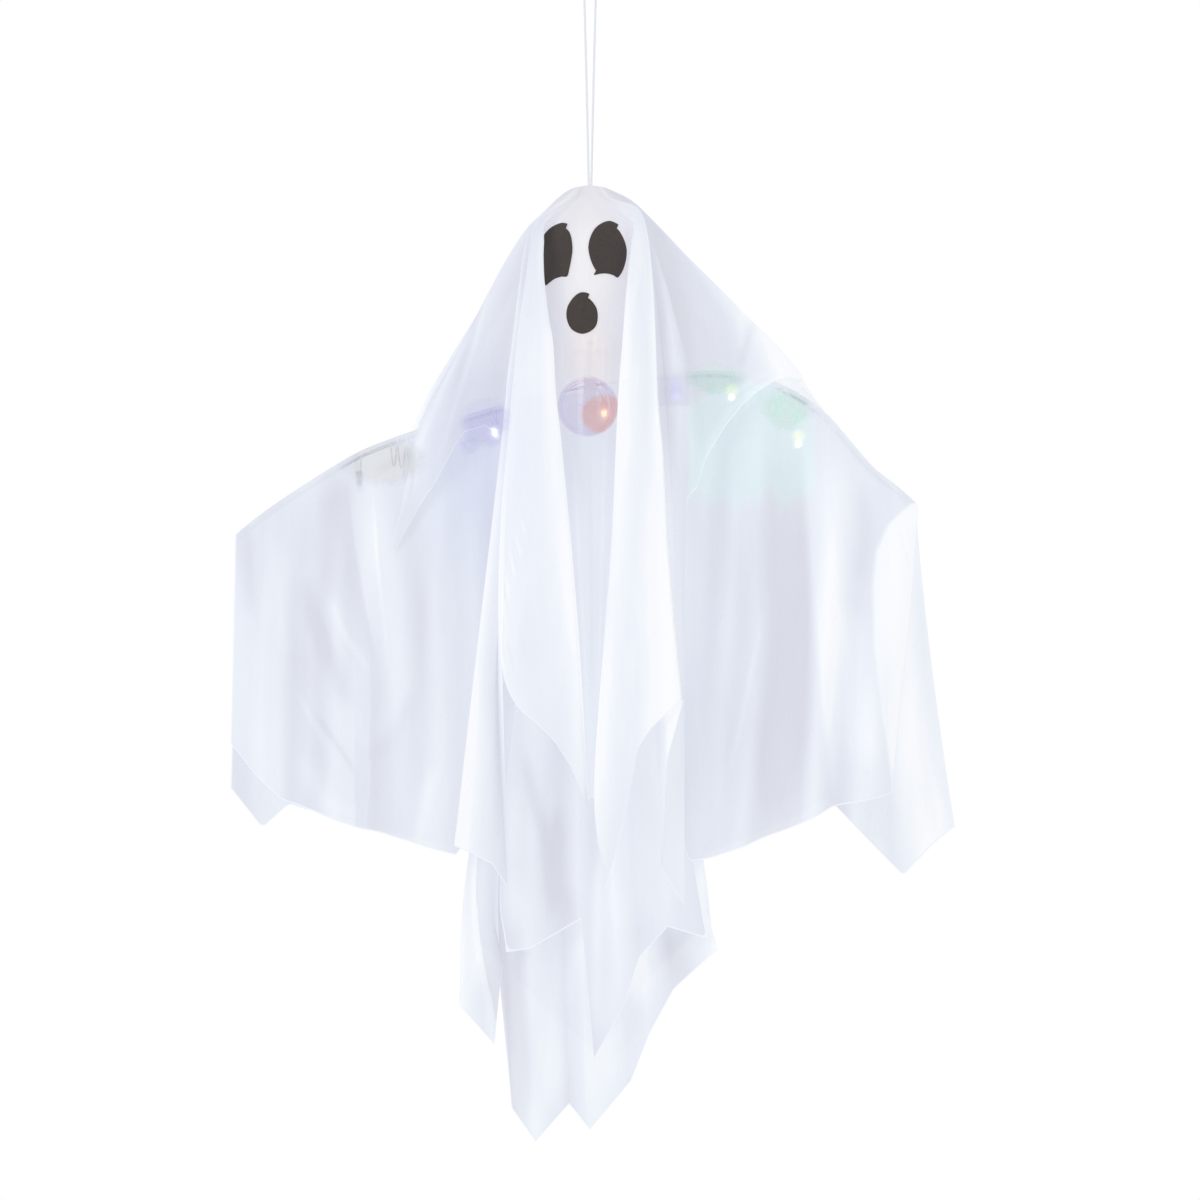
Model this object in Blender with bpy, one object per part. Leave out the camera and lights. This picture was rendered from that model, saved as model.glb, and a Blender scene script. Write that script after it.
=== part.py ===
"""A lighted ghost that hangs on a doubled cord: a lit egg-shaped head, one bent wire for both arms, a string of
lamps with its battery case, and four sheets of thin cloth. The hook's place in the cord loop is the origin, +Z is
up and the face looks along -Y. Lengths are in metres; the tables of fold lines are in millimetres."""

import math

import bmesh
import bpy
import numpy as np
from mathutils import Vector
from mathutils.bvhtree import BVHTree

for old in list(bpy.data.objects):
    bpy.data.objects.remove(old, do_unlink=True)

MM = 0.001
GAP = 0.0003  # left between two pieces that touch

# Suspension
HANG_DROP = 0.192  # hook to the crown of the veil
CORD_D = 0.002
STRAND_SPACING = 0.0025
LOOP_WIDTH = 0.0108
CORD_HOLE_R = 0.006
BEAD_R = 0.007
BEAD_BORE_R = 0.0034
KNOT_R = 0.0045

# Head and neck
HEAD_R = 0.050
HEAD_LENGTH = 0.148
HEAD_TAPER = 0.10
HEAD_WALL = 0.0015
HEAD_TOP = 0.002  # below the veil's crown
HEAD_HOLE_R = 0.0055
COLLAR_R = 0.017
COLLAR_WALL = 0.002
COLLAR_LENGTH = 0.0135
FLANGE_T = 0.0025
STEM_R = 0.006
STEM_LENGTH = 0.055
SCREW_R = 0.0013

# Arms
WIRE_R = 0.0015
LEFT_REACH = 0.334
RIGHT_REACH = 0.306
CAP_R = 0.0033
CAP_LENGTH = 0.014
ARM_LINE = (  # across, below the crown
    (-338, 339), (-307, 315), (-276, 294), (-246, 275), (-218, 259), (-191, 248), (-164, 238.5), (-91, 217),
    (-30, 198), (0, 192), (30, 187.5), (70, 185), (130, 183), (165, 189), (200, 205), (229, 228), (241, 242),
    (268, 273), (295, 295), (315, 313),
)

# Lamps and their lead
LEAD_D = 0.0016
LEAD_CLEAR = 0.0004
LOOP_SAG = 0.0004  # how far a chord of a loop cuts in
LOOP_R = 0.015
LOOP_PITCH = 0.0085
LAMP_R = 0.0035
LAMP_LENGTH = 0.009
LENS_R = 0.0025
LENS_LENGTH = 0.006
HANK_R = 0.0315
HANK_STEP = 0.0026
HANK_TURNS = 3
HANK_DEPTH = 0.014
HANK_X = -0.004
HANK_DROP = 0.2125

# Battery case
CASE_X = 0.060
CASE_LENGTH = 0.066
CASE_DEPTH = 0.0155
CASE_HEIGHT = 0.0256
CASE_WALL = 0.0016
CASE_BELOW_WIRE = 0.0085
SWITCH_ROOM = 0.012
CELL_R = 0.00515
CELL_LENGTH = 0.0428
NUB_LENGTH = 0.0008
COVER_T = 0.0016
SWITCH_TRAVEL = 0.004
LUG_X = 0.022  # from the case's middle

# Cloth
CLOTH_T = 0.0012
SLEEVE_R = 0.021
WRIST_SLEEVE_R = 0.009
CLOTH_FLARE = 0.07
FOLD_DEPTH = 0.009
FOLD_WIDTH = 0.074
LAYER_GAP = 0.0045
FELT_T = 0.0009


def below(drop):
    """Height of a point this far below the crown."""
    return -HANG_DROP - drop


def material(obj, colour, roughness, metallic=0.0):
    """Gives the object its own Principled material."""
    made = bpy.data.materials.new(obj.name)
    made.use_nodes = True
    shader = made.node_tree.nodes["Principled BSDF"]
    shader.inputs["Base Color"].default_value = (*colour, 1.0)
    shader.inputs["Roughness"].default_value = roughness
    shader.inputs["Metallic"].default_value = metallic
    obj.data.materials.append(made)
    return obj


def mesh_object(name, points, faces, origin=(0.0, 0.0, 0.0)):
    """An object from world points, with its origin where it is asked for and its faces turned outwards."""
    mesh = bpy.data.meshes.new(name)
    mesh.from_pydata([tuple(np.subtract(p, origin)) for p in points], [], [tuple(int(i) for i in f) for f in faces])
    work = bmesh.new()
    work.from_mesh(mesh)
    bmesh.ops.recalc_face_normals(work, faces=work.faces)
    work.to_mesh(mesh)
    work.free()
    obj = bpy.data.objects.new(name, mesh)
    obj.location = origin
    bpy.context.scene.collection.objects.link(obj)
    return obj


def smooth_line(points, count, closed=False):
    """Evenly spread points on the Catmull-Rom curve through the given ones, by chord length."""
    given = np.asarray(points, float)
    if closed:
        given = np.vstack([given[-1:], given, given[:2]])
    else:
        given = np.vstack([2 * given[0] - given[1], given, 2 * given[-1] - given[-2]])
    fine = []
    for i in range(1, len(given) - 2):
        a, b, c, d = given[i - 1 : i + 3]
        t = np.linspace(0, 1, 12, endpoint=False)[:, None]
        fine.append(0.5 * (2 * b + (c - a) * t + (2 * a - 5 * b + 4 * c - d) * t**2 + (3 * b - a - 3 * c + d) * t**3))
    fine = np.vstack([*fine, given[-2][None]])
    run = np.concatenate([[0], np.cumsum(np.linalg.norm(np.diff(fine, axis=0), axis=1))])
    wanted = np.linspace(0, run[-1], count + 1)[:-1] if closed else np.linspace(0, run[-1], count)
    return np.column_stack([np.interp(wanted, run, fine[:, k]) for k in range(given.shape[1])])


def tube(name, points, radius, resolution=2, cyclic=False):
    """A curve object with a round bevel through the points."""
    curve = bpy.data.curves.new(name, "CURVE")
    curve.dimensions = "3D"
    curve.bevel_depth = radius
    curve.bevel_resolution = resolution
    curve.use_fill_caps = not cyclic
    spline = curve.splines.new("POLY")
    spline.points.add(len(points) - 1)
    for place, point in zip(spline.points, points):
        place.co = (*point, 1.0)
    spline.use_cyclic_u = cyclic
    obj = bpy.data.objects.new(name, curve)
    bpy.context.scene.collection.objects.link(obj)
    return obj


def turned(name, profile, origin, steps=24, axis=(0, 0, 1), closed=False):
    """A profile of (radius, height) turned about an axis through origin. It runs down the outer side."""
    mesh = bpy.data.meshes.new(name)
    edges = [(i, i + 1) for i in range(len(profile) - 1)] + ([(len(profile) - 1, 0)] if closed else [])
    mesh.from_pydata([(r, 0, z) for r, z in profile], edges, [])
    obj = bpy.data.objects.new(name, mesh)
    bpy.context.scene.collection.objects.link(obj)
    obj.location = origin
    obj.rotation_euler = Vector(axis).to_track_quat("Z", "Y").to_euler()
    screw = obj.modifiers.new("turn", "SCREW")
    screw.steps = screw.render_steps = steps
    screw.use_merge_vertices = True
    screw.merge_threshold = 0.00001
    screw.use_smooth_shade = True
    return obj


def block(name, low, high, bevel=0.0):
    """A box between two world corners, with rounded edges where bevel is over 0."""
    low, high = np.array(low, float), np.array(high, float)
    middle = (low + high) / 2
    mesh = bpy.data.meshes.new(name)
    work = bmesh.new()
    bmesh.ops.create_cube(work, size=1.0)
    bmesh.ops.scale(work, vec=tuple(high - low), verts=work.verts)
    work.to_mesh(mesh)
    work.free()
    obj = bpy.data.objects.new(name, mesh)
    obj.location = middle
    bpy.context.scene.collection.objects.link(obj)
    if bevel:
        rounding = obj.modifiers.new("edges", "BEVEL")
        rounding.width = bevel
        rounding.segments = 2
    return obj


def cutter(obj):
    obj.hide_render = True
    obj.display_type = "WIRE"
    return obj


def boolean(obj, other, operation="DIFFERENCE"):
    change = obj.modifiers.new(other.name, "BOOLEAN")
    change.operation = operation
    change.object = cutter(other)
    return obj


def rod_cutter(name, start, end, radius, sides=12):
    """A round cutter between two points."""
    start, end = Vector(start), Vector(end)
    length = (end - start).length
    return cutter(turned(name, [(0, length), (radius, length), (radius, 0), (0, 0)], start, sides, end - start))


def curve_at(x, table):
    """Smooth value at x of a table of (place, value) pairs: a cubic through them with Catmull-Rom slopes."""
    places, values = np.array(table, float).T
    slopes = np.gradient(values, places)
    x = np.clip(np.asarray(x, float), places[0], places[-1])
    i = np.clip(np.searchsorted(places, x) - 1, 0, len(places) - 2)
    width = places[i + 1] - places[i]
    t = (x - places[i]) / width
    return (
        values[i] * (1 + 2 * t) * (1 - t) ** 2
        + slopes[i] * width * t * (1 - t) ** 2
        + values[i + 1] * t**2 * (3 - 2 * t)
        + slopes[i + 1] * width * t**2 * (t - 1)
    )


def wire_z(x):
    """Height of the arm wire's axis at x."""
    return below(curve_at(np.asarray(x) / MM, ARM_LINE) * MM)


def above_wire(x, distance):
    """Height at which something clears the sloping wire by this distance."""
    slope = (wire_z(np.asarray(x) + 0.002) - wire_z(np.asarray(x) - 0.002)) / 0.004
    return wire_z(x) + distance * np.sqrt(1 + slope**2)


# Head: an egg blown as one shell, with a round hole at the crown and a collar at the neck.
def egg(angle):
    """(radius, drop below the crown) of the egg's skin at a polar angle from its top."""
    radius = HEAD_R * np.sin(angle) * (1 + HEAD_TAPER * np.cos(angle))
    return radius, HEAD_TOP + HEAD_LENGTH / 2 * (1 - np.cos(angle))


def egg_radius(drop):
    """The egg's radius at a drop below the crown."""
    share = np.clip((np.asarray(drop, float) - HEAD_TOP) / (HEAD_LENGTH / 2), 0, 2)
    return egg(np.arccos(1 - share))[0]


def egg_angle_of(radius, lower):
    """The polar angle at which the skin has this radius, on the lower or the upper half."""
    angles = np.linspace(math.pi / 2, math.pi, 400) if lower else np.linspace(math.pi / 2, 0, 400)
    return float(np.interp(-radius, -egg(angles)[0], angles))


def head_profile():
    collar_top = egg_angle_of(COLLAR_R, lower=True)
    crown = egg_angle_of(HEAD_HOLE_R, lower=False)
    outer = [egg(a) for a in np.linspace(crown, collar_top, 11)]
    collar_end = outer[-1][1] + COLLAR_LENGTH
    profile = [(r, -d) for r, d in outer] + [(COLLAR_R, -collar_end)]
    inner_r = COLLAR_R - COLLAR_WALL
    shrink = (HEAD_R - HEAD_WALL) / HEAD_R
    inner = []
    for angle in np.linspace(collar_top + 0.03, crown, 8):
        r, d = egg(angle)
        middle = HEAD_TOP + HEAD_LENGTH / 2
        inner.append((r * shrink, -(middle + (d - middle) * shrink)))
    inner = [p for p in inner if p[0] >= inner_r or p[1] > -middle]
    inner[-1] = (HEAD_HOLE_R, inner[-1][1])
    return profile + [(inner_r, -collar_end), (inner_r, -outer[-1][1])] + inner, collar_end


profile, COLLAR_END = head_profile()
SCREW_DROP = COLLAR_END - 0.006
head_shell = material(
    turned("head_shell", profile, (0, 0, below(0)), 22, closed=True), (0.93, 0.91, 0.88), 0.45
)

# Neck plug: spigot in the collar, flange under it, and a stem that the arm wire goes through.
SPIGOT_R = COLLAR_R - COLLAR_WALL - GAP
SPIGOT_TOP = COLLAR_END - 0.011
FLANGE_TOP = COLLAR_END + GAP
STEM_END = FLANGE_TOP + FLANGE_T + STEM_LENGTH
WIRE_DROP = -float(wire_z(0)) - HANG_DROP
neck_plug = material(
    turned(
        "neck_plug",
        [
            (0, -SPIGOT_TOP),
            (SPIGOT_R - 0.001, -SPIGOT_TOP),
            (SPIGOT_R, -SPIGOT_TOP - 0.001),
            (SPIGOT_R, -FLANGE_TOP),
            (COLLAR_R, -FLANGE_TOP),
            (COLLAR_R, -FLANGE_TOP - FLANGE_T),
            (STEM_R + 0.002, -FLANGE_TOP - FLANGE_T),
            (STEM_R, -FLANGE_TOP - FLANGE_T - 0.002),
            (STEM_R, -STEM_END + 0.001),
            (STEM_R - 0.001, -STEM_END),
            (0, -STEM_END),
        ],
        (0, 0, below(0)),
        20,
    ),
    (0.85, 0.85, 0.84),
    0.5,
)
LEAD_HOLE_R = LEAD_D / 2 + LEAD_CLEAR
LEAD_HOLES = ((0.0105, 0.0019), (0.0105, -0.0019))
for index, (x, y) in enumerate(LEAD_HOLES):
    boolean(neck_plug, rod_cutter(f"cut_lead_{index}", (x, y, below(FLANGE_TOP + 0.01)), (x, y, below(SPIGOT_TOP - 0.01)), LEAD_HOLE_R, 10))
slope = Vector((0.02, 0, float(wire_z(0.01) - wire_z(-0.01)))).normalized()
at_wire = Vector((0, 0, below(WIRE_DROP)))
boolean(neck_plug, rod_cutter("cut_wire", at_wire - slope * 0.012, at_wire + slope * 0.012, WIRE_R + 0.0004, 12))
boolean(neck_plug, rod_cutter("cut_lock", (0, 0, below(STEM_END + 0.005)), (0, 0, below(WIRE_DROP + 0.0005)), SCREW_R + GAP, 12))


def screw(name, head_at, direction, length, colour=(0.55, 0.56, 0.58)):
    """A pan-head screw: its head's underside is at head_at and its shank runs along direction."""
    profile = [
        (0, 0.0016),
        (0.0016, 0.0014),
        (0.0027, 0.0006),
        (0.0027, 0),
        (SCREW_R, 0),
        (SCREW_R, -length + 0.0008),
        (0.0005, -length),
        (0, -length),
    ]
    made = turned(name, profile, head_at, 10, tuple(-c for c in direction))
    return material(made, colour, 0.3, 1.0)


for name, side in (("neck_screw_front", -1), ("neck_screw_back", 1)):
    seat = (0, side * (COLLAR_R + GAP), below(SCREW_DROP))
    hole = rod_cutter(f"cut_{name}", (0, side * 0.008, below(SCREW_DROP)), (0, side * 0.022, below(SCREW_DROP)), SCREW_R + GAP)
    boolean(neck_plug, hole)
    boolean(head_shell, hole)
    screw(name, seat, (0, -side, 0), 0.0075)
screw("wire_lock_screw", (0, 0, below(STEM_END + GAP)), (0, 0, 1), STEM_END - WIRE_DROP - WIRE_R)

# What it hangs on: the bead bears up against the hole's rim, the knot is under it, and the cord is one doubled loop.
rim_drop = -profile[-1][1]
BEAD_DROP = rim_drop + math.sqrt(BEAD_R**2 - HEAD_HOLE_R**2) + GAP
arc = [math.asin(BEAD_BORE_R / BEAD_R) + i * (math.pi - 2 * math.asin(BEAD_BORE_R / BEAD_R)) / 8 for i in range(9)]
material(
    turned("anchor_bead", [(BEAD_R * math.sin(a), BEAD_R * math.cos(a)) for a in arc], (0, 0, below(BEAD_DROP)), 16, closed=True),
    (0.75, 0.62, 0.45),
    0.5,
)
knot_top = BEAD_DROP + BEAD_R + GAP
print(f"the figure tilts about z = {below(BEAD_DROP):.5f}")
knot_lobes = [(0, 0), (0.003, 0), (KNOT_R, -0.0015), (KNOT_R - 0.0005, -0.003), (KNOT_R, -0.0048), (0.0028, -0.0066), (0, -0.0068)]
material(turned("cord_knot", knot_lobes, (0, 0, below(knot_top)), 14), (0.93, 0.93, 0.92), 0.8)

half_loop = [
    (STRAND_SPACING / 2, 0, below(knot_top - GAP)),
    (STRAND_SPACING / 2, 0, below(0)),
    (STRAND_SPACING / 2 + 0.0002, 0, below(-0.012)),
    (0.0034, 0, below(-0.10)),
    (LOOP_WIDTH / 2, 0, -0.014),
    (LOOP_WIDTH / 2, 0, -0.008),
]
top_arc = [
    (LOOP_WIDTH / 2 * math.cos(a), 0, CORD_D / 2 - LOOP_WIDTH / 2 + LOOP_WIDTH / 2 * math.sin(a))
    for a in np.radians([15, 52, 90, 128, 165])
]
other_half = [
    (-LOOP_WIDTH / 2, 0, -0.008),
    (-LOOP_WIDTH / 2, 0, -0.014),
    (-0.0034, 0, below(-0.10)),
    (-STRAND_SPACING / 2 - 0.0002, 0, below(-0.012)),
    (-STRAND_SPACING / 2, 0, below(0)),
    (-STRAND_SPACING / 2, 0, below(knot_top - GAP)),
]
rise = smooth_line(half_loop, 18)
fall = smooth_line(other_half, 18)
material(tube("hang_cord", np.vstack([rise, top_arc, fall]), CORD_D / 2), (0.95, 0.95, 0.94), 0.85)

# Arm wire, bent to the shoulders' line, with a soft cap on each end.
across = np.linspace(-LEFT_REACH, RIGHT_REACH, 35)
wire_points = np.column_stack([across, np.zeros_like(across), wire_z(across)])
material(tube("arm_wire", wire_points, WIRE_R), (0.62, 0.63, 0.65), 0.3).data.materials[0].node_tree.nodes[
    "Principled BSDF"
].inputs["Metallic"].default_value = 1.0
for name, end, inner in (("left_wrist_cap", wire_points[0], wire_points[1]), ("right_wrist_cap", wire_points[-1], wire_points[-2])):
    outward = Vector(end - inner).normalized()
    bore = WIRE_R + GAP
    cap_profile = [
        (bore, -CAP_LENGTH + 0.004),
        (bore, GAP),
        (0, GAP + 0.0002),
    ]
    outer = [(0, 0.004), (CAP_R * 0.6, 0.0034), (CAP_R, 0.0018), (CAP_R, -CAP_LENGTH + 0.0045), (CAP_R - 0.0005, -CAP_LENGTH + 0.004)]
    material(turned(name, outer + cap_profile, Vector(end), 14, outward), (0.9, 0.9, 0.88), 0.6)


# Lamps: a moulded holder with a domed lens, hung lens down on its two lead ends.
def lamp(name, lens_place, colour, direction=(0, 0, -1)):
    """lens_place is the lens's middle. Returns the middle of the holder's lead face."""
    profile = [(0, LAMP_LENGTH), (LAMP_R - 0.0005, LAMP_LENGTH), (LAMP_R, LAMP_LENGTH - 0.0006), (LAMP_R, 0), (LENS_R, 0)]
    profile += [
        (LENS_R * math.cos(a), -(LENS_LENGTH - LENS_R) - LENS_R * math.sin(a)) for a in np.radians([0, 30, 60, 90])
    ]
    profile[-1] = (0, -LENS_LENGTH)
    axis = -Vector(direction).normalized()
    origin = Vector(lens_place) + axis * (LENS_LENGTH / 2)
    material(turned(name, profile, origin, 10, axis), colour, 0.25)
    return origin + axis * LAMP_LENGTH


LAMP_PLACES = {
    "led_left_wrist": ((-0.221, -0.0068, below(0.286)), (0.82, 0.82, 0.84)),
    "led_left_shoulder": ((-0.091, -0.0068, below(0.2375)), (0.75, 0.72, 1.0)),
    "led_neck": ((0.0135, -HANK_DEPTH, below(0.2195)), (1.0, 0.45, 0.3)),
    "led_case": ((0.082, -0.0120, below(0.2040)), (0.55, 0.5, 0.95)),
    "led_right_shoulder": ((0.1345, -0.0068, below(0.205)), (0.8, 1.0, 0.75)),
    "led_right_elbow": ((0.199, -0.0068, below(0.2485)), (0.8, 1.0, 0.75)),
}
lead_faces = {name: lamp(name, place, colour) for name, (place, colour) in LAMP_PLACES.items()}
HEAD_LAMP = (LEAD_HOLES[0][0], 0, below(SPIGOT_TOP - GAP - LAMP_LENGTH - LENS_LENGTH / 2))
lead_faces["led_head"] = lamp("led_head", HEAD_LAMP, (1.0, 0.9, 0.75), (0, 0, 1))
LEAD_RUN = WIRE_R + LEAD_D / 2 + LEAD_CLEAR + LOOP_SAG
PAIR = 0.0013  # half the distance between the two lead ends in a holder


def wound(start_x, end_x, hanks, side=-1, radius=LOOP_R):
    """Centre line of a lead that runs beside the arm wire and hangs from it in loops at each (place, loops)."""
    direction = 1 if end_x > start_x else -1
    parts = []
    x = start_x
    for place, loops in (*hanks, (end_x, 0)):
        run = np.linspace(x, place, max(2, int(abs(place - x) / 0.008)), endpoint=loops == 0)
        parts.append(np.column_stack([run, np.full(len(run), side * LEAD_RUN), wire_z(run)]))
        turns = np.linspace(0, 1, loops * 20, endpoint=False)
        grow = np.minimum(1, np.minimum(turns, 1 - turns) * loops * 2.2)
        swell = LEAD_RUN + (radius - LEAD_RUN) * np.sin(grow * math.pi / 2) ** 1.5
        angle = side * math.pi * 0.5 + 2 * math.pi * loops * turns
        across = place + direction * loops * LOOP_PITCH * turns
        height = above_wire(across, LEAD_RUN) - swell * (1 - np.cos(angle))
        parts.append(np.column_stack([across, swell * np.sin(angle), height]))
        x = place + direction * loops * LOOP_PITCH
    return np.vstack(parts)


def lead(name, points, count):
    route = smooth_line(points, count)
    apart = np.linalg.norm(route[:, None] - route[None], axis=2)
    steps = np.abs(np.arange(count)[:, None] - np.arange(count)[None])
    run = np.concatenate([[0], np.cumsum(np.linalg.norm(np.diff(route, axis=0), axis=1))])
    along = np.abs(run[:, None] - run[None])
    near = apart[(along > 4 * LEAD_D) & (steps > 1)].min() - LEAD_D if count > 8 else 1
    where = np.argwhere((along > 4 * LEAD_D) & (steps > 1) & (apart < near + LEAD_D + 1e-6))[0]
    print(f"{name}: {run[-1] * 1000:.0f} mm long, least gap to itself {near * 1000:.2f} mm", (route[where] * 1000).round(1).tolist())
    return material(tube(name, route, LEAD_D / 2, 1), (0.86, 0.88, 0.9), 0.2)


def down_to(face, side, bend):
    """The last points of a lead that comes down into a holder's top, on one side of its middle."""
    x, y, z = face
    return [(x + side * PAIR * 2.2, y + 0.003, z + bend), (x + side * PAIR, y, z + 0.003), (x + side * PAIR, y, z + GAP)]


shoulder, wrist = lead_faces["led_left_shoulder"], lead_faces["led_left_wrist"]
neck, case_lamp = lead_faces["led_neck"], lead_faces["led_case"]
right, elbow = lead_faces["led_right_shoulder"], lead_faces["led_right_elbow"]

# Left arm: neck lamp to shoulder lamp, then on to the wrist lamp, where the string ends.
lead(
    "lead_neck_to_shoulder",
    np.vstack([
        down_to(neck, 1, 0.007)[::-1][:2],
        [(0.0135, -0.0095, neck[2] + 0.0085), (0.006, -0.0088, below(0.1955)), (-0.006, -0.0088, below(0.1945))],
        [(-0.015, -0.006, below(0.1945))],
        wound(-0.026, -0.082, ((-0.046, 2),)),
        down_to(shoulder, 1, 0.010),
    ]),
    78,
)
lead(
    "lead_shoulder_to_wrist",
    np.vstack([
        down_to(shoulder, -1, 0.010)[::-1],
        wound(-0.102, -0.210, ((-0.116, 2), (-0.166, 3))),
        down_to(wrist, 1, 0.016),
    ]),
    116,
)

# Right arm: case to its lamp, then to the shoulder and elbow lamps and a spare end.
CASE_TOP = float(wire_z(CASE_X)) - CASE_BELOW_WIRE
CASE_LOW = (CASE_X - CASE_LENGTH / 2, -CASE_DEPTH / 2, CASE_TOP - CASE_HEIGHT)
CASE_HIGH = (CASE_X + CASE_LENGTH / 2, CASE_DEPTH / 2, CASE_TOP)
OUTLET_Z = CASE_TOP - 0.006
lead(
    "lead_case_to_lamp",
    [
        (case_lamp[0] - 0.0085, CASE_LOW[1] - GAP, OUTLET_Z),
        (case_lamp[0] - 0.0085, CASE_LOW[1] - 0.0025, OUTLET_Z),
        (case_lamp[0] - 0.0078, case_lamp[1], OUTLET_Z + 0.005),
        (case_lamp[0] - 0.0045, case_lamp[1], case_lamp[2] + 0.0034),
        (case_lamp[0] - PAIR, case_lamp[1], case_lamp[2] + 0.0022),
        (case_lamp[0] - PAIR, case_lamp[1], case_lamp[2] + GAP),
    ],
    18,
)
lead(
    "lead_case_to_shoulder",
    np.vstack([
        [(case_lamp[0] + PAIR, case_lamp[1], case_lamp[2] + GAP), (case_lamp[0] + PAIR, case_lamp[1], case_lamp[2] + 0.002)],
        [(case_lamp[0] + 0.008, case_lamp[1] + 0.003, case_lamp[2] + 0.0035), (0.099, -0.0055, below(0.186))],
        wound(0.106, 0.127, ((0.1105, 1),)),
        down_to(right, -1, 0.012),
    ]),
    38,
)
lead(
    "lead_shoulder_to_elbow",
    np.vstack([
        down_to(right, 1, 0.012)[::-1],
        wound(0.142, 0.190, ((0.1445, 2), (0.1755, 1))),
        down_to(elbow, -1, 0.022),
    ]),
    76,
)
lead(
    "lead_elbow_tail",
    np.vstack([down_to(elbow, 1, 0.022)[::-1], wound(0.209, 0.236, ((0.2130, 2),))]),
    50,
)

# Neck: case to the head lamp, then down to the hank in front of the stem, and its tie.
flange_under = below(FLANGE_TOP + FLANGE_T)
(hole_x, back_y), (_, front_y) = LEAD_HOLES
lamp_foot = below(SPIGOT_TOP)
lead(
    "lead_case_to_head",
    [
        (CASE_LOW[0] - GAP, 0.003, OUTLET_Z),
        (CASE_LOW[0] - 0.004, 0.003, OUTLET_Z + 0.001),
        (0.0115, 0.0045, OUTLET_Z + 0.012),
        (hole_x, back_y + 0.001, flange_under - 0.008),
        (hole_x, back_y, flange_under + 0.001),
        (hole_x, back_y, lamp_foot - 0.003),
        (hole_x, back_y, lamp_foot),
    ],
    22,
)


def coil_turns(turns, step):
    """A round coil that hangs by its top, each turn a step smaller than the one before."""
    angle = np.linspace(0, 2 * math.pi * turns, 24 * turns + 1)
    radius = HANK_R - LEAD_D / 2 - step * angle / (2 * math.pi)
    return np.column_stack([
        HANK_X + radius * np.sin(angle),
        -HANK_DEPTH + 0.00008 * angle,
        below(HANK_DROP) + radius * np.cos(angle),
    ])


coil = coil_turns(HANK_TURNS, HANK_STEP)
lead(
    "lead_hank",
    np.vstack([
        [(hole_x, front_y, lamp_foot), (hole_x, front_y, lamp_foot - 0.003), (hole_x, front_y, flange_under - 0.0015)],
        [(hole_x + 0.0005, front_y - 0.003, flange_under - 0.006), (hole_x + 0.002, 0.003 - HANK_DEPTH, flange_under - 0.011)],
        coil[2:-2],
        [(coil[-2][0] + 0.011, coil[-1][1] - 0.001, coil[-1][2] + 0.001)],
        down_to(neck, -1, 0.007)[1:],
    ]),
    102,
)
tied = coil[[19 + 24 * turn for turn in range(HANK_TURNS)]]
tie_middle = (tied[0] + tied[-1]) / 2
outward = (tied[0] - tied[-1]) / np.linalg.norm(tied[0] - tied[-1])
tie_half = np.linalg.norm(tied[0] - tied[-1]) / 2 + LEAD_D / 2 + 0.0016
tie_ring = [
    tie_middle + outward * tie_half * math.cos(a) + np.array([0, 0.0026 * math.sin(a), 0])
    for a in np.linspace(0, 2 * math.pi, 12, endpoint=False)
]
material(tube("hank_tie", tie_ring, 0.0006, 1, cyclic=True), (0.9, 0.9, 0.9), 0.6)

# Battery case: an open tray under the wire, with two lugs for its ties, a switch room and two lead outlets.
battery_case = block("battery_case", CASE_LOW, CASE_HIGH, 0.001)
inner_low = np.array(CASE_LOW) + (CASE_WALL, CASE_WALL, CASE_WALL)
inner_high = np.array(CASE_HIGH) - (CASE_WALL, 0, CASE_WALL)
DIVIDER_X = CASE_HIGH[0] - SWITCH_ROOM
RIM = CASE_HIGH[1]
OVER = RIM + 0.002
GROOVE = 0.0007
cells_room = block("cut_cells", inner_low, (DIVIDER_X, OVER, inner_high[2]))
switch_room = block("cut_switch", (DIVIDER_X + 0.0012, *inner_low[1:]), (inner_high[0], OVER, inner_high[2]))
rail_cuts = [
    block(
        f"cut_groove_{index}",
        (min(wall - way * GAP, wall + way * GROOVE), RIM - 0.0024, CASE_LOW[2] - 0.001),
        (max(wall - way * GAP, wall + way * GROOVE), RIM - 0.0012, inner_high[2] - 0.0001),
    )
    for index, (wall, way) in enumerate(((inner_low[0], -1), (inner_high[0], 1)))
]
notch = block("cut_notch", (inner_low[0] + 0.0001, RIM - 0.0024, CASE_LOW[2] - 0.001), (inner_high[0] - 0.0001, OVER, inner_low[2] + 0.001))
SLOT_X = (DIVIDER_X + 0.0012 + inner_high[0]) / 2
SLOT_HALF = 0.0040
slot = block("cut_slot", (SLOT_X - SLOT_HALF, -0.0012, CASE_LOW[2] - 0.002), (SLOT_X + SLOT_HALF, 0.0012, inner_low[2] + 0.002))
for index, x in enumerate((CASE_X - LUG_X, CASE_X + LUG_X)):
    lug_top = float(wire_z(x)) - WIRE_R - 0.0011
    lug = block(f"lug_{index}", (x - 0.0035, -0.0012, CASE_TOP - 0.001), (x + 0.0035, 0.0012, lug_top), 0.0004)
    boolean(battery_case, lug, "UNION")
    hole_z = (CASE_TOP + lug_top) / 2 - 0.0002
    boolean(battery_case, rod_cutter(f"cut_lug_{index}", (x, -0.004, hole_z), (x, 0.004, hole_z), 0.0013, 10))
    top = float(above_wire(x, WIRE_R + 0.0008 + GAP))
    ring = [
        (x, 0.0034 * math.sin(a), (top + hole_z) / 2 + (top - hole_z) / 2 * math.cos(a))
        for a in np.linspace(0, 2 * math.pi, 14, endpoint=False)
    ]
    material(tube(f"case_tie_{('left', 'right')[index]}", ring, 0.0006, 1, cyclic=True), (0.9, 0.9, 0.9), 0.5)
for helper in (cells_room, switch_room, *rail_cuts, notch, slot):
    boolean(battery_case, helper)
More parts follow.
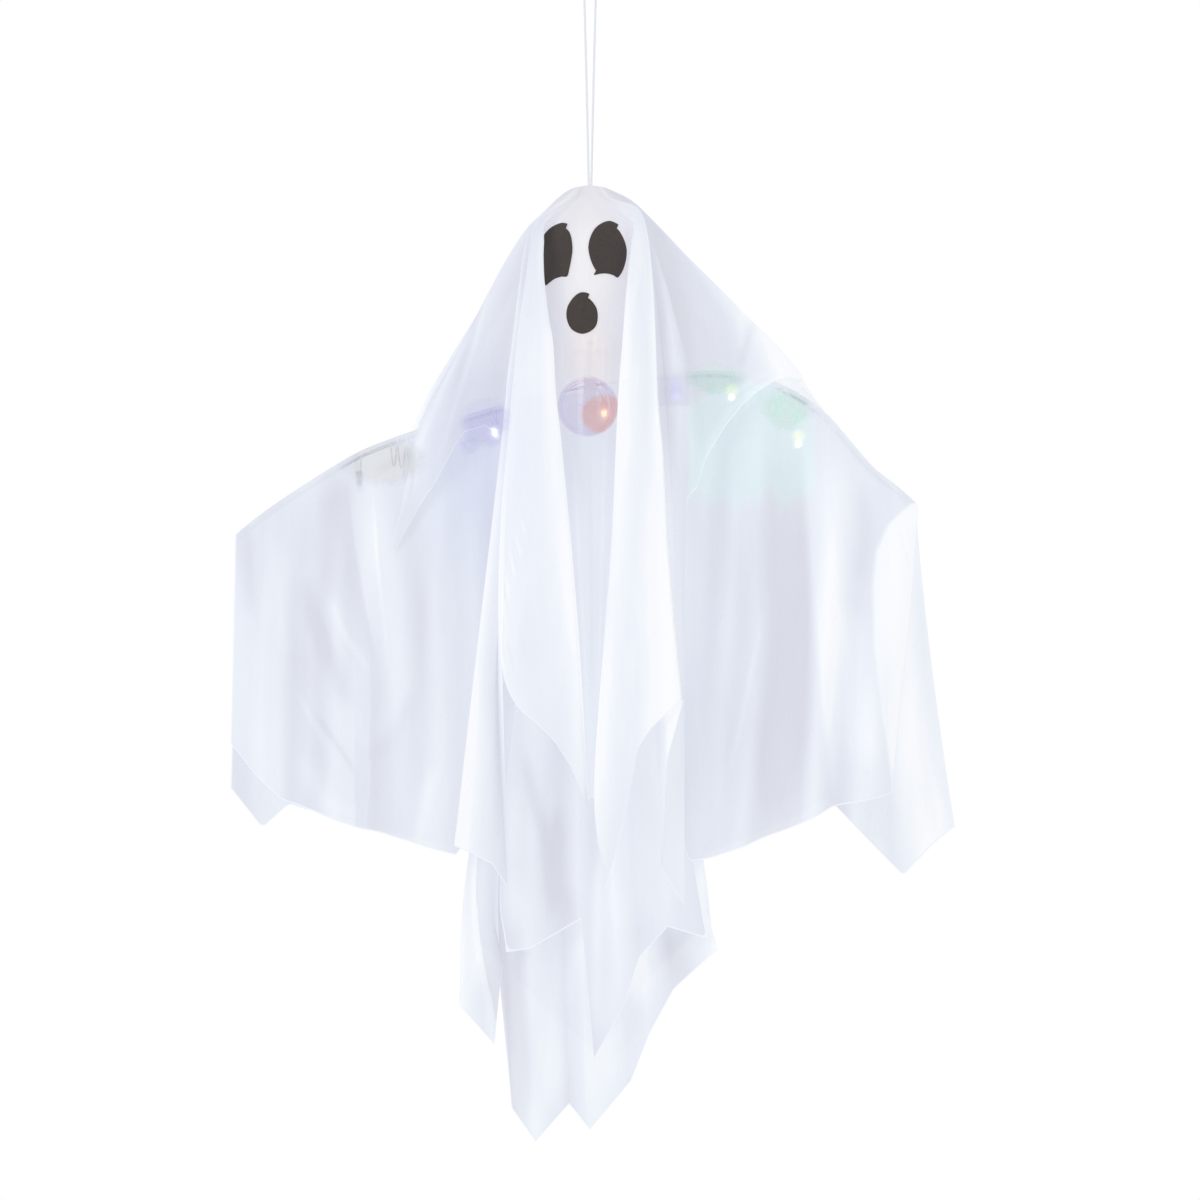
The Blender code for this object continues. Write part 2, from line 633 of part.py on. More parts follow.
material(battery_case, (0.92, 0.92, 0.9), 0.4)

# Cover: slides off downwards. Tongues on its two ribs run in grooves in the tray's end walls.
PLATE_LOW = RIM + GAP
cover = block("battery_cover", (CASE_LOW[0], PLATE_LOW, CASE_LOW[2]), (CASE_HIGH[0], PLATE_LOW + COVER_T, CASE_HIGH[2]), 0.0006)
for index, (wall, way) in enumerate(((inner_low[0], 1), (inner_high[0], -1))):
    rib_x = sorted((wall + way * GAP, wall + way * 0.0015))
    tongue_x = sorted((wall - way * (GROOVE - GAP), wall + way * 0.0010))
    ends = (CASE_LOW[2] + 0.0004, inner_high[2] - 0.0005)
    rib = block(f"rib_{index}", (rib_x[0], RIM - 0.0021, ends[0]), (rib_x[1], PLATE_LOW + 0.0005, ends[1]))
    tongue = block(f"tongue_{index}", (tongue_x[0], RIM - 0.0021, ends[0]), (tongue_x[1], RIM - 0.0015, ends[1]))
    boolean(cover, rib, "UNION")
    boolean(cover, tongue, "UNION")
lip = block(
    "lip",
    (inner_low[0] + 0.0008, RIM - 0.0020, CASE_LOW[2] + 0.0002),
    (inner_high[0] - 0.0008, PLATE_LOW + 0.0006, CASE_LOW[2] + 0.0014),
)
boolean(cover, lip, "UNION")
for index in range(4):
    z = CASE_LOW[2] + 0.003 + index * 0.002
    surface = PLATE_LOW + COVER_T
    boolean(cover, block(f"cut_grip_{index}", (CASE_X - 0.008, surface - 0.0005, z), (CASE_X + 0.008, surface + 0.001, z + 0.0009)))
material(cover, (0.92, 0.92, 0.9), 0.4)

# Switch slider in its slot, at its off end.
slider = block(
    "switch_slider",
    (SLOT_X - SLOT_HALF + GAP, -0.0012 + GAP, CASE_LOW[2] - 0.0018),
    (SLOT_X + SLOT_HALF - GAP - SWITCH_TRAVEL, 0.0012 - GAP, inner_low[2] + 0.001),
)
plate = block(
    "slider_plate",
    (SLOT_X - SLOT_HALF, -0.003, inner_low[2] + GAP),
    (SLOT_X + SLOT_HALF - SWITCH_TRAVEL - 0.0002, 0.003, inner_low[2] + 0.0018),
)
boolean(slider, plate, "UNION")
material(slider, (0.2, 0.2, 0.21), 0.5)

# Two cells side by side, head to tail, with their spring, tab and bridge.
CELL_Z = (CASE_TOP - CASE_WALL - CELL_R - 0.0004, CASE_LOW[2] + CASE_WALL + CELL_R + 0.0004)
CELL_Y = CASE_LOW[1] + CASE_WALL + CELL_R + GAP
left_wall, right_wall = inner_low[0], DIVIDER_X
PLATE_T = 0.0005
spare = right_wall - left_wall - CELL_LENGTH - NUB_LENGTH - 2 * PLATE_T - 4 * GAP


def cell(name, z, nub_right):
    direction = 1 if nub_right else -1
    nub_face = right_wall - PLATE_T - 2 * GAP if nub_right else left_wall + PLATE_T + 2 * GAP
    profile = [
        (0, 0), (0.0019, 0), (0.0019, -NUB_LENGTH), (CELL_R - 0.0005, -NUB_LENGTH), (CELL_R, -NUB_LENGTH - 0.0005),
        (CELL_R, -NUB_LENGTH - CELL_LENGTH + 0.0005), (CELL_R - 0.0005, -NUB_LENGTH - CELL_LENGTH), (0, -NUB_LENGTH - CELL_LENGTH),
    ]
    material(turned(name, profile, (nub_face, CELL_Y, z), 16, (direction, 0, 0)), (0.25, 0.27, 0.3), 0.35)
    return nub_face - direction * (NUB_LENGTH + CELL_LENGTH)


flat_right = cell("cell_lower", CELL_Z[1], nub_right=False)
flat_left = cell("cell_upper", CELL_Z[0], nub_right=True)


def coil_spring(name, x_from, x_to, z):
    """A conical contact spring of two and a half turns along X."""
    turns = np.linspace(0, 1, 21)
    radius = 0.0037 - 0.0016 * turns
    angle = 2 * math.pi * 2.5 * turns
    x = x_from + (x_to - x_from) * turns
    route = np.column_stack([x, CELL_Y + radius * np.sin(angle), z + radius * np.cos(angle)])
    material(tube(name, route, 0.00035, 1), (0.8, 0.78, 0.7), 0.3)


def contact(name, x_low, z_low, z_high):
    material(block(name, (x_low, CELL_Y - 0.004, z_low), (x_low + PLATE_T, CELL_Y + 0.004, z_high)), (0.8, 0.78, 0.7), 0.3)


contact("cell_bridge", left_wall + GAP, CELL_Z[1] - 0.0042, CELL_Z[0] + 0.0042)
contact("contact_tab_upper", right_wall - PLATE_T - GAP, CELL_Z[0] - 0.0042, CELL_Z[0] + 0.0042)
contact("contact_tab_lower", right_wall - PLATE_T - GAP, CELL_Z[1] - 0.0042, CELL_Z[1] + 0.0042)
coil_spring("spring_upper", left_wall + GAP + PLATE_T + 0.0007, flat_left - 0.0007, CELL_Z[0])
coil_spring("spring_lower", right_wall - GAP - PLATE_T - 0.0007, flat_right + 0.0007, CELL_Z[1])


# Cloth. The body cloth lies over the arms; its half depth sets where the other sheets may hang.
BODY_FRONT_HEM = (  # the front is open from the middle to the two strips of the veil
    (-343, 534), (-325, 556), (-292, 587), (-220, 613), (-124, 639), (-104, 560), (-88, 462), (66, 462), (79, 560),
    (92, 645), (112, 642), (189, 614), (230, 594), (287, 582),
)
BODY_BACK_HEM = ((-347, 578), (-319, 619), (-291, 589), (-220, 608), (-117, 634), (0, 645), (112, 636), (230, 600), (304, 664), (353, 615))
RIDGE_RISE = LEAD_RUN + LEAD_D / 2 + CLOTH_T / 2 + 0.0008


def sleeve_radius(x):
    """How far the cloth stands off the arm: the lamps' loops hold it out, and it narrows to the wrist caps."""
    x = np.asarray(x, float)
    reach = np.where(x < 0, -x / (LEFT_REACH + 0.004), x / (RIGHT_REACH + 0.006))
    return WRIST_SLEEVE_R + (SLEEVE_R - WRIST_SLEEVE_R) * np.clip((1 - reach) / 0.22, 0, 1) ** 0.6


def fold_wave(x):
    """From -1 to 1 across the cloth: uneven hanging folds."""
    x = np.asarray(x, float)
    return np.cos(2 * math.pi * x / FOLD_WIDTH + 1.3 * np.sin(2 * math.pi * x / 0.31 + 0.6))


def body_half_depth(x, drop):
    """Half the distance between the front and back cloth at a drop below the ridge."""
    radius = sleeve_radius(x)
    drop = np.maximum(np.asarray(drop, float), 0)
    arch = np.sqrt(np.maximum(radius**2 - np.maximum(radius - drop, 0) ** 2, 0))
    past = np.maximum(drop - radius, 0)
    return arch + CLOTH_FLARE * past + FOLD_DEPTH * (1 - np.exp(-past / 0.12)) * fold_wave(x)


def cloth_solid(name, grid, colour, closed_round=False, leave_out=None):
    """A thin closed solid from a grid of middle-surface points, columns by rows."""
    columns, rows = grid.shape[:2]
    faces = []
    for i in range(columns if closed_round else columns - 1):
        for j in range(rows - 1):
            if leave_out is None or not leave_out(i, j):
                n = (i + 1) % columns
                faces.append((i * rows + j, n * rows + j, n * rows + j + 1, i * rows + j + 1))
    obj = mesh_object(name, grid.reshape(-1, 3), faces)
    wall = obj.modifiers.new("thickness", "SOLIDIFY")
    wall.thickness = CLOTH_T
    wall.offset = 0
    return material(obj, colour, 0.8)


ARCH_ANGLES = np.radians([0, 26, 54, 90])
FALL_SHARES = np.array([0.11, 0.28, 0.50, 0.75, 1.0])


def body_grid(columns):
    """Columns that come up the front, over the arm and down the back."""
    u = np.linspace(0, 1, columns)
    ridge_x = -0.340 + u * 0.654
    ridge_z = above_wire(ridge_x, RIDGE_RISE)
    sides = []
    for hem, low_x, high_x, side in ((BODY_FRONT_HEM, -0.343, 0.287, -1), (BODY_BACK_HEM, -0.347, 0.353, 1)):
        hem_x = low_x + u * (high_x - low_x)
        hem_drop = ridge_z - below(np.interp(hem_x / MM, *np.array(hem).T) * MM)
        arch = [sleeve_radius(ridge_x) * (1 - math.cos(a)) for a in ARCH_ANGLES]
        rows = []
        for drop in arch + [arch[-1] + (hem_drop - arch[-1]) * share for share in FALL_SHARES]:
            x = ridge_x + (hem_x - ridge_x) * (drop / hem_drop) ** 1.3
            rows.append(np.column_stack([x, side * body_half_depth(ridge_x, drop), ridge_z - drop]))
        sides.append(np.array(rows))
    front, back = sides
    return np.concatenate([front[::-1], back[1:]]).transpose(1, 0, 2)


NECK_HOLE_HALF = 0.040
body = body_grid(36)
ridge_row = len(ARCH_ANGLES) + len(FALL_SHARES) - 1


def in_neck_hole(i, j):
    middle_x = (body[i, ridge_row, 0] + body[i + 1, ridge_row, 0]) / 2
    return abs(middle_x) < NECK_HOLE_HALF and ridge_row - 2 <= j < ridge_row + 2


cloth_solid("body_cloth", body, (0.93, 0.94, 0.98), leave_out=in_neck_hole)

# The veil's fold lines: the angle at which each leaves the crown, then (across, depth, drop) down to the hem.
VEIL_LINES = (
    (90, (0, 53, 42), (0, 60, 100), (0, 62, 170), (0, 64, 260), (0, 68, 400), (0, 64, 575)),
    (125, (-34, 42, 44), (-52, 48, 90), (-85, 52, 160), (-125, 54, 240), (-140, 58, 330), (-145, 58, 455)),
    (155, (-52, 26, 40), (-85, 30, 90), (-140, 34, 170), (-168, 38, 220), (-182, 40, 270), (-188, 38, 325)),
    (168, (-47, 12, 27), (-84, 13, 76), (-130, 15, 164), (-154, 18, 203), (-164, 21, 229)),
    (180, (-45, 0, 25), (-61, -2, 41), (-82, -4, 74), (-110, -6, 127), (-130, -8, 166), (-148, -14, 200), (-163, -20, 228)),
    (187, (-46, -8, 29), (-62, -9, 47), (-83, -12, 80), (-110, -15, 132), (-132, -18, 176), (-152, -24, 214),
     (-166, -29, 250), (-170, -30, 300), (-189, -26, 355)),
    (200, (-58, -18, 48), (-84, -24, 95), (-112, -28, 145), (-136, -32, 195), (-148, -36, 240), (-152, -40, 292)),
    (215, (-52, -32, 52), (-72, -40, 110), (-92, -46, 160), (-106, -50, 215), (-116, -54, 268)),
    (225, (-51, -40, 37), (-61, -50, 60), (-67, -58, 100), (-74, -70, 158), (-79, -76, 196), (-85, -82, 262),
     (-109, -84, 460), (-130, -78, 634)),
    (229, (-50, -41, 38), (-58, -48, 66), (-66, -57, 128), (-74, -66, 200), (-80, -72, 262), (-100, -75, 460),
     (-108, -71, 642)),
    (232, (-49, -42, 40), (-57, -49, 80), (-66, -58, 160), (-74, -63, 262), (-88, -66, 460), (-80, -66, 668)),
    (238, (-50, -47, 38), (-57, -56, 70), (-61, -66, 110), (-67, -78, 158), (-73, -88, 220), (-80, -94, 340),
     (-85, -97, 473)),
    (252, (-40, -47, 40), (-43.5, -57, 62), (-43.5, -63, 92), (-39, -70, 132), (-35, -78, 158), (-33, -86, 205),
     (-27, -93, 263), (-16, -99, 397), (-5, -102, 588)),
    (256, (-42, -33, 42), (-46.5, -28, 70), (-46.5, -29, 92), (-43, -36, 132), (-36, -43, 180), (-28, -52, 263),
     (-12, -66, 430), (-5, -86, 572)),
    (263, (-21, -45, 42), (-22, -48, 70), (-22, -48, 92), (-20, -47, 140), (-17, -46, 200), (-13, -50, 300),
     (-7, -63, 430), (-2, -82, 576)),
    (270, (0, -51, 42), (0, -54, 70), (0, -54, 92), (0, -51.5, 140), (0, -47, 200), (0, -50, 300), (0, -62, 430),
     (0, -81, 578)),
    (277, (21, -45, 42), (22, -48, 70), (22, -48, 92), (20, -47, 140), (17, -46, 200), (13, -50, 300), (7, -63, 430),
     (2, -82, 576)),
    (284, (38, -36, 42), (42, -34, 70), (41, -36, 92), (37, -42, 132), (31, -46, 180), (25, -53, 263), (12, -67, 430),
     (5, -86, 572)),
    (289, (39, -44, 40), (38.5, -52, 62), (36, -62, 89), (33, -70, 122), (30, -79, 165), (27, -86, 204), (24, -93, 263),
     (18, -99, 398), (4, -101, 588), (14, -98, 670)),
    (296, (45, -44, 32), (50, -54, 70), (49, -65, 110), (47, -77, 158), (44, -89, 205), (42, -95, 263),
     (42, -101, 398), (44, -104, 538)),
    (305, (46, -36, 25), (55, -43, 52), (60, -55, 100), (62, -65, 140), (65, -75, 212), (70, -83, 263),
     (76, -89, 359), (83, -93, 436), (90, -94, 492)),
    (309, (47, -32, 28), (55, -40, 66), (58, -49, 122), (60, -60, 200), (62, -68, 300), (64, -73, 430), (67, -75, 560),
     (68, -74, 650)),
    (314, (47, -29, 32), (58, -35, 75), (66, -43, 140), (72, -52, 212), (77, -58, 300), (82, -62, 430), (86, -64, 560),
     (88, -65, 690)),
    (322, (51, -26, 36), (66, -32, 80), (84, -38, 140), (100, -46, 210), (111, -52, 275)),
    (338, (56, -16, 36), (84, -22, 80), (112, -26, 124), (132, -32, 168), (146, -38, 212)),
    (355, (41, -4, 13), (61, -4, 33), (92, -2, 66), (125, 0, 98), (157, 0, 130), (179, -4, 152), (198, -12, 176),
     (201, -20, 186)),
    (378, (60, 14, 38), (92, 22, 74), (130, 28, 112), (165, 30, 145), (190, 30, 172), (226, 24, 214)),
    (405, (38, 36, 44), (58, 42, 90), (95, 50, 150), (130, 54, 220), (145, 58, 300), (148, 60, 430)),
)
FACE_LEFT, FACE_RIGHT = 256, 284  # the lines between which the sheet lies back over the face
CAP_ANGLES = np.radians((20, 38))
CAP_CLEAR = 0.0028


def outside_body(points):
    """Keeps a sheet a layer's gap outside the body cloth where it hangs below the arms' ridge."""
    x, y, z = points.T
    ridge = above_wire(x, RIDGE_RISE)
    under = np.clip((ridge - z) / 0.004, 0, 1)
    in_reach = (x > -0.345) & (x < 0.33)
    least = (body_half_depth(x, ridge - z) + LAYER_GAP) * under * in_reach
    return np.column_stack([x, np.where(y < 0, -1, 1) * np.maximum(np.abs(y), least), z])


def outside_head(points):
    """Keeps a sheet clear of the head's skin."""
    x, y, z = points.T
    drop = below(0) - z
    wanted = (egg_radius(drop) + CAP_CLEAR) * (drop < HEAD_LENGTH)
    have = np.hypot(x, y)
    scale = np.where(have < wanted, wanted / np.maximum(have, 1e-6), 1)
    return np.column_stack([x * scale, y * scale, z])


def veil_line(angle, places, rows):
    direction = np.array([math.cos(math.radians(angle)), math.sin(math.radians(angle))])
    top = [(*(CORD_HOLE_R * direction), below(0))]
    for polar in CAP_ANGLES:
        r, d = egg(polar)
        top.append((*((r + CAP_CLEAR * math.sin(polar)) * direction), below(d - CAP_CLEAR * math.cos(polar))))
    lower = [(x * MM, y * MM, below(d * MM)) for x, y, d in places]
    if lower[0][2] > top[-1][2] - 0.004:
        top = top[:-1]
    return fine_line(np.array(top + lower), rows)


def fine_line(points, places):
    """Points on a smooth curve at the places given for the longest line, drawn together on a shorter one."""
    fine = smooth_line(points, 400)
    run = np.concatenate([[0], np.cumsum(np.linalg.norm(np.diff(fine, axis=0), axis=1))])
    places = np.array(places, float) * MM
    wanted = places / (1 + places * (1 / run[-1] - 1 / places[-1]))
    return np.column_stack([np.interp(wanted, run, fine[:, k]) for k in range(3)])


def loft_round(lines, between):
    """Extra lines between the given ones, each a Catmull-Rom mean of its four neighbours."""
    lines = np.array(lines)
    made = []
    for i in range(len(lines)):
        a, b, c, d = (lines[(i + k) % len(lines)] for k in (-1, 0, 1, 2))
        for t in np.arange(between) / between:
            made.append(0.5 * (2 * b + (c - a) * t + (2 * a - 5 * b + 4 * c - d) * t**2 + (3 * b - a - 3 * c + d) * t**3))
    return np.array(made)


VEIL_ROWS = (0, 13, 31, 53, 77, 104, 142, 200, 295, 430, 620)
veil = loft_round([veil_line(angle, places, VEIL_ROWS) for angle, *places in VEIL_LINES], 2)
veil = outside_body(outside_head(veil.reshape(-1, 3))).reshape(veil.shape)
cloth_solid("veil", veil, (0.95, 0.96, 1.0), closed_round=True)

# The two inner drapes are gathered round the foot of the stem and tied there.
GATHER_DROP = STEM_END - 0.006
LONG_LINES = (  # angle at the gather, then (across, depth, drop)
    (185, (-60, -3, 330), (-116, -8, 640), (-125, -12, 785)),
    (200, (-52, -8, 330), (-108, -20, 640), (-91, -26, 821)),
    (215, (-47, -3, 330), (-92, -8, 640), (-84, -12, 748)),
    (228, (-41, -1, 330), (-84, 2, 640), (-82, 2, 800), (-75, -2, 885)),
    (242, (-30, -7, 330), (-58, -14, 640), (-52, -20, 914)),
    (255, (-17, -2, 330), (-27, 2, 640), (-20, -2, 881)),
    (268, (-4, -7, 330), (-8, -12, 640), (0, -18, 903)),
    (281, (11, -2, 330), (14, 2, 640), (39, -4, 859)),
    (294, (24, -7, 330), (40, -10, 640), (57, -12, 812)),
    (308, (38, -2, 330), (64, 2, 640), (80, -4, 771)),
    (322, (50, -6, 330), (96, -10, 640), (122, -16, 731)),
    (345, (55, 3, 330), (108, 6, 640), (114, 8, 705)),
    (385, (38, 12, 330), (62, 24, 640), (58, 26, 762)),
    (445, (8, 15, 330), (8, 28, 640), (6, 32, 838)),
    (490, (-24, 13, 330), (-44, 26, 640), (-46, 28, 788)),
    (522, (-48, 6, 330), (-98, 12, 640), (-106, 12, 728)),
)
MID_LINES = (
    (205, (-46, -10, 330), (-84, -21, 640), (-80, -24, 733)),
    (222, (-37, -14, 330), (-62, -31, 640), (-58, -34, 729)),
    (238, (-23, -10, 330), (-32, -24, 640), (-30, -26, 714)),
    (254, (-9, -14, 330), (-10, -31, 640), (-8, -34, 700)),
    (270, (4, -10, 330), (4, -24, 640), (4, -28, 834)),
    (286, (17, -14, 330), (22, -31, 640), (32, -34, 784)),
    (302, (30, -10, 330), (42, -23, 640), (47, -26, 738)),
    (318, (41, -14, 330), (70, -30, 640), (74, -32, 708)),
    (335, (50, -10, 330), (98, -21, 640), (112, -24, 720)),
)


DRAPE_ROWS = (0, 8, 22, 70, 150, 260, 380, 520, 700)


def drape_lines(lines, radius, opening):
    made = []
    for angle, *places in lines:
        turn = math.radians(angle)
        ring = [
            ((radius + wider) * math.cos(turn), (radius + wider) * math.sin(turn), below(GATHER_DROP + d))
            for d, wider in ((-0.004, 0), (0.004, 0), (0.016, opening))
        ]
        made.append(fine_line(np.array(ring + [(x * MM, y * MM, below(d * MM)) for x, y, d in places]), DRAPE_ROWS))
    return made


LONG_GATHER_R = STEM_R + CLOTH_T / 2 + 0.0005
MID_GATHER_R = LONG_GATHER_R + CLOTH_T + 0.0005
long_drape = loft_round(drape_lines(LONG_LINES, LONG_GATHER_R, 0.0008), 2)
off_stem = np.hypot(long_drape[..., 0], long_drape[..., 1])[..., None]
long_drape[..., :2] *= np.maximum(1, LONG_GATHER_R / off_stem)
cloth_solid("long_drape", long_drape, (0.92, 0.94, 0.99), closed_round=True)
mid_lines = drape_lines(MID_LINES, MID_GATHER_R, 0.0021)
mid_drape = loft_round(mid_lines, 2)[: 2 * len(mid_lines) - 1]
cloth_solid("mid_drape", mid_drape, (0.92, 0.94, 0.99))
tie_r = MID_GATHER_R + CLOTH_T / 2 + 0.0007 + 3 * GAP
drape_ring = [(tie_r * math.cos(a), tie_r * math.sin(a), below(GATHER_DROP)) for a in np.linspace(0, 2 * math.pi, 18, endpoint=False)]
material(tube("drape_tie", drape_ring, 0.0007, 1, cyclic=True), (0.9, 0.9, 0.9), 0.7)


# Felt patches on the veil's face: outlines seen from the front, laid on the sheet.
first, last = (min(range(len(VEIL_LINES)), key=lambda i: abs(VEIL_LINES[i][0] - angle)) for angle in (FACE_LEFT, FACE_RIGHT))
face_sheet = veil[2 * first : 2 * last + 1]
rows = face_sheet.shape[1]
face_quads = [
    (i * rows + j, (i + 1) * rows + j, (i + 1) * rows + j + 1, i * rows + j + 1)
    for i in range(len(face_sheet) - 1)
    for j in range(rows - 1)
]
face_tree = BVHTree.FromPolygons([tuple(p) for p in face_sheet.reshape(-1, 3)], face_quads)


def felt(name, outline, count=30):
    """A thin patch whose outline is given as (across, drop) and which lies on the veil over the egg."""
    ring = smooth_line(np.array(outline, float) * MM, count, closed=True)
    centre = ring.mean(axis=0)
    rings = [centre + (ring - centre) * s for s in (0.5, 1.0)]
    flat = np.vstack([centre[None], *rings])
    lift = CLOTH_T / 2 + 0.0014
    surface = [face_tree.ray_cast((x, -0.3, below(d)), (0, 1, 0))[0][1] for x, d in flat]
    layers = []
    for extra in (0, FELT_T):
        layers.append(np.column_stack([flat[:, 0], np.array(surface) - lift - extra, below(flat[:, 1])]))
    points = np.vstack(layers)
    size = len(flat)
    faces = []
    for i in range(count):
        n = (i + 1) % count
        for base in (0, size):
            faces.append((base, base + 1 + i, base + 1 + n))
            faces.append((base + 1 + i, base + 1 + count + i, base + 1 + count + n, base + 1 + n))
        faces.append((1 + count + i, size + 1 + count + i, size + 1 + count + n, 1 + count + n))
    return material(mesh_object(name, points, faces), (0.05, 0.045, 0.04), 0.9)


FELT_OUTLINES = {  # (across, drop), with the small curl at the top of each
    "left_eye": (
        (-41.5, 47), (-37.4, 40.5), (-31.7, 37), (-23.5, 36.2), (-25, 39.4), (-20.6, 44.2), (-17.3, 51.8), (-17, 63.4),
        (-19.2, 75.8), (-21.1, 85.4), (-27.8, 84.7), (-33.6, 86.4), (-38.4, 89.8), (-41.2, 91.4), (-41.5, 75.8), (-41.8, 59.5),
    ),
    "right_eye": (
        (0, 52.8), (3.8, 43.2), (10.6, 37), (18.2, 34.2), (26.6, 37.8), (24.8, 40), (29.8, 46), (33.6, 55.7),
        (34.4, 67.2), (31.2, 78.7), (25.9, 87.4), (19.2, 85), (12.5, 84.3), (3.8, 85.9), (0.5, 75.8), (-1.2, 63.4),
    ),
    "mouth": (
        (-17.3, 112.3), (-12.5, 106.6), (-7.7, 104.2), (0, 105.8), (-2.2, 108), (1.9, 113.3), (5.8, 121), (6, 128.6),
        (2.4, 136.3), (-2.9, 139.7), (-8.6, 140.2), (-14.9, 138.2), (-20.2, 132.5), (-21.5, 124.8), (-20.2, 118.1),
    ),
}
for name, outline in FELT_OUTLINES.items():
    felt(name, outline)
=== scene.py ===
import math
from functools import reduce

import bmesh
import bpy
import numpy as np
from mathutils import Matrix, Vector
from mathutils.bvhtree import BVHTree


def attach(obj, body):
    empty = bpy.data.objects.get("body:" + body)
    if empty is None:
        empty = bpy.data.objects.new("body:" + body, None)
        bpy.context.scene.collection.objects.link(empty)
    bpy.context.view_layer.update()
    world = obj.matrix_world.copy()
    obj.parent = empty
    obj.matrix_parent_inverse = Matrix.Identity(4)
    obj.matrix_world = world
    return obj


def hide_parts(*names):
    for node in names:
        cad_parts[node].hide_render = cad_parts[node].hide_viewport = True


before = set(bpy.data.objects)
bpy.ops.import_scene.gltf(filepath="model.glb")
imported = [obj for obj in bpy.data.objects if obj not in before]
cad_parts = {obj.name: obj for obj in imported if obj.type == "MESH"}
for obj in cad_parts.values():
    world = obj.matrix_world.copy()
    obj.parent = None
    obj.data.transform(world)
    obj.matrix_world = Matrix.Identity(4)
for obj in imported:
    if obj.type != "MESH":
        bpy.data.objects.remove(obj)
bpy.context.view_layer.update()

# Camera. It looks level at the figure from 3.2 m away, at the height of the photograph's middle, so that its
# 1200 pixels take in 1.152 m there.
CAMERA_AWAY = 3.2


def stand(name, data):
    """Puts an object made of the data into the scene."""
    obj = bpy.data.objects.new(name, data)
    bpy.context.scene.collection.objects.link(obj)
    return obj


camera = stand("camera", bpy.data.cameras.new("camera"))
camera.data.lens = 100
camera.data.sensor_width = 36
camera.data.clip_end = 30
camera.location = (0.0096, -CAMERA_AWAY, -0.5894)
camera.rotation_euler = (math.pi / 2, 0, 0)
bpy.context.scene.camera = camera


# Hanging cord. One thin braided cord is doubled over the hook, and both its lengths go down into the crown.
# There they end in the knot under the bead, which carries the figure.
CROWN = 0.192  # the crown of the veil below the hook


def run_along(points):
    """How far along its line each point is: the sum of the straight steps before it."""
    return np.concatenate([[0], np.cumsum(np.linalg.norm(np.diff(points, axis=0), axis=1))])


def between(a, b, c, d, t):
    """The place a share t of the way from b to c on a cubic, whose slope at b is half of c less a."""
    return 0.5 * (2 * b + (c - a) * t + (2 * a - 5 * b + 4 * c - d) * t**2 + (3 * b - a - 3 * c + d) * t**3)


def through(points, count, closed=False):
    """Evenly spread points on the smooth curve through the given ones, a cubic between each two of them."""
    given = np.asarray(points, float)
    if closed:
        given = np.vstack([given[-1:], given, given[:2]])
    else:
        given = np.vstack([2 * given[0] - given[1], given, 2 * given[-1] - given[-2]])
    share = np.linspace(0, 1, 16, endpoint=False)[:, None]
    fine = np.vstack(
        [*(between(*given[i - 1 : i + 3], share) for i in range(1, len(given) - 2)), given[-2][None]]
    )
    run = run_along(fine)
    wanted = np.linspace(0, run[-1], count + 1)[:-1] if closed else np.linspace(0, run[-1], count)
    return np.column_stack([np.interp(wanted, run, fine[:, k]) for k in range(given.shape[1])])


def add_line(curve, points, cyclic=False):
    """Adds a line with a straight run from each point to the next to a curve."""
    spline = curve.splines.new("POLY")
    spline.points.add(len(points) - 1)
    spline.points.foreach_set("co", np.column_stack([points, np.ones(len(points))]).ravel())
    spline.use_cyclic_u = cyclic
    return spline


def tube(name, points, radius, resolution=4, cyclic=False):
    """A round tube about the line through the points, as a curve object with a round bevel of the radius."""
    curve = bpy.data.curves.new(name, "CURVE")
    curve.dimensions = "3D"
    curve.bevel_depth = radius
    curve.bevel_resolution = resolution
    curve.use_fill_caps = not cyclic
    add_line(curve, points, cyclic).use_smooth = True
    return stand(name, curve)


def material(name, colour, roughness, metallic=0.0):
    """A material with its shader, whose plain values are set on the shader itself."""
    made = bpy.data.materials.new(name)
    made.use_nodes = True
    shader = made.node_tree.nodes["Principled BSDF"]
    shader.inputs["Base Color"].default_value = (*colour, 1)
    shader.inputs["Roughness"].default_value = roughness
    shader.inputs["Metallic"].default_value = metallic
    return made, made.node_tree, shader


def node(tree, kind, inputs=None, **settings):
    """A node with its settings and with values or links for its inputs."""
    made = tree.nodes.new(kind)
    for key, value in settings.items():
        setattr(made, key, value)
    for key, value in (inputs or {}).items():
        if isinstance(value, bpy.types.NodeSocket):
            tree.links.new(value, made.inputs[key])
        else:
            made.inputs[key].default_value = value
    return made


def object_place(tree):
    """The place of the shaded spot in the object's own frame."""
    return node(tree, "ShaderNodeTexCoord").outputs["Object"]


def banded(tree, scale, distortion, direction, **more):
    """Wavy bands across an object, from 0 to 1: a sine of the place, pushed about by noise."""
    inputs = {"Vector": object_place(tree), "Scale": scale, "Distortion": distortion, **more}
    return node(tree, "ShaderNodeTexWave", inputs, bands_direction=direction).outputs["Fac"]


def ramp(tree, factor, low, high):
    """Colours that run evenly from low, where the factor is 0, to high, where it is 1."""
    made = node(tree, "ShaderNodeValToRGB", {"Fac": factor})
    for element, colour in zip(made.color_ramp.elements, (low, high)):
        element.color = (*colour, 1)
    return made


def bumps(tree, shader, height, strength, distance):
    """Gives a shader fine bumps, whose normal leans with the slope of the height times the distance."""
    bump = node(tree, "ShaderNodeBump", {"Height": height, "Strength": strength, "Distance": distance})
    tree.links.new(bump.outputs["Normal"], shader.inputs["Normal"])


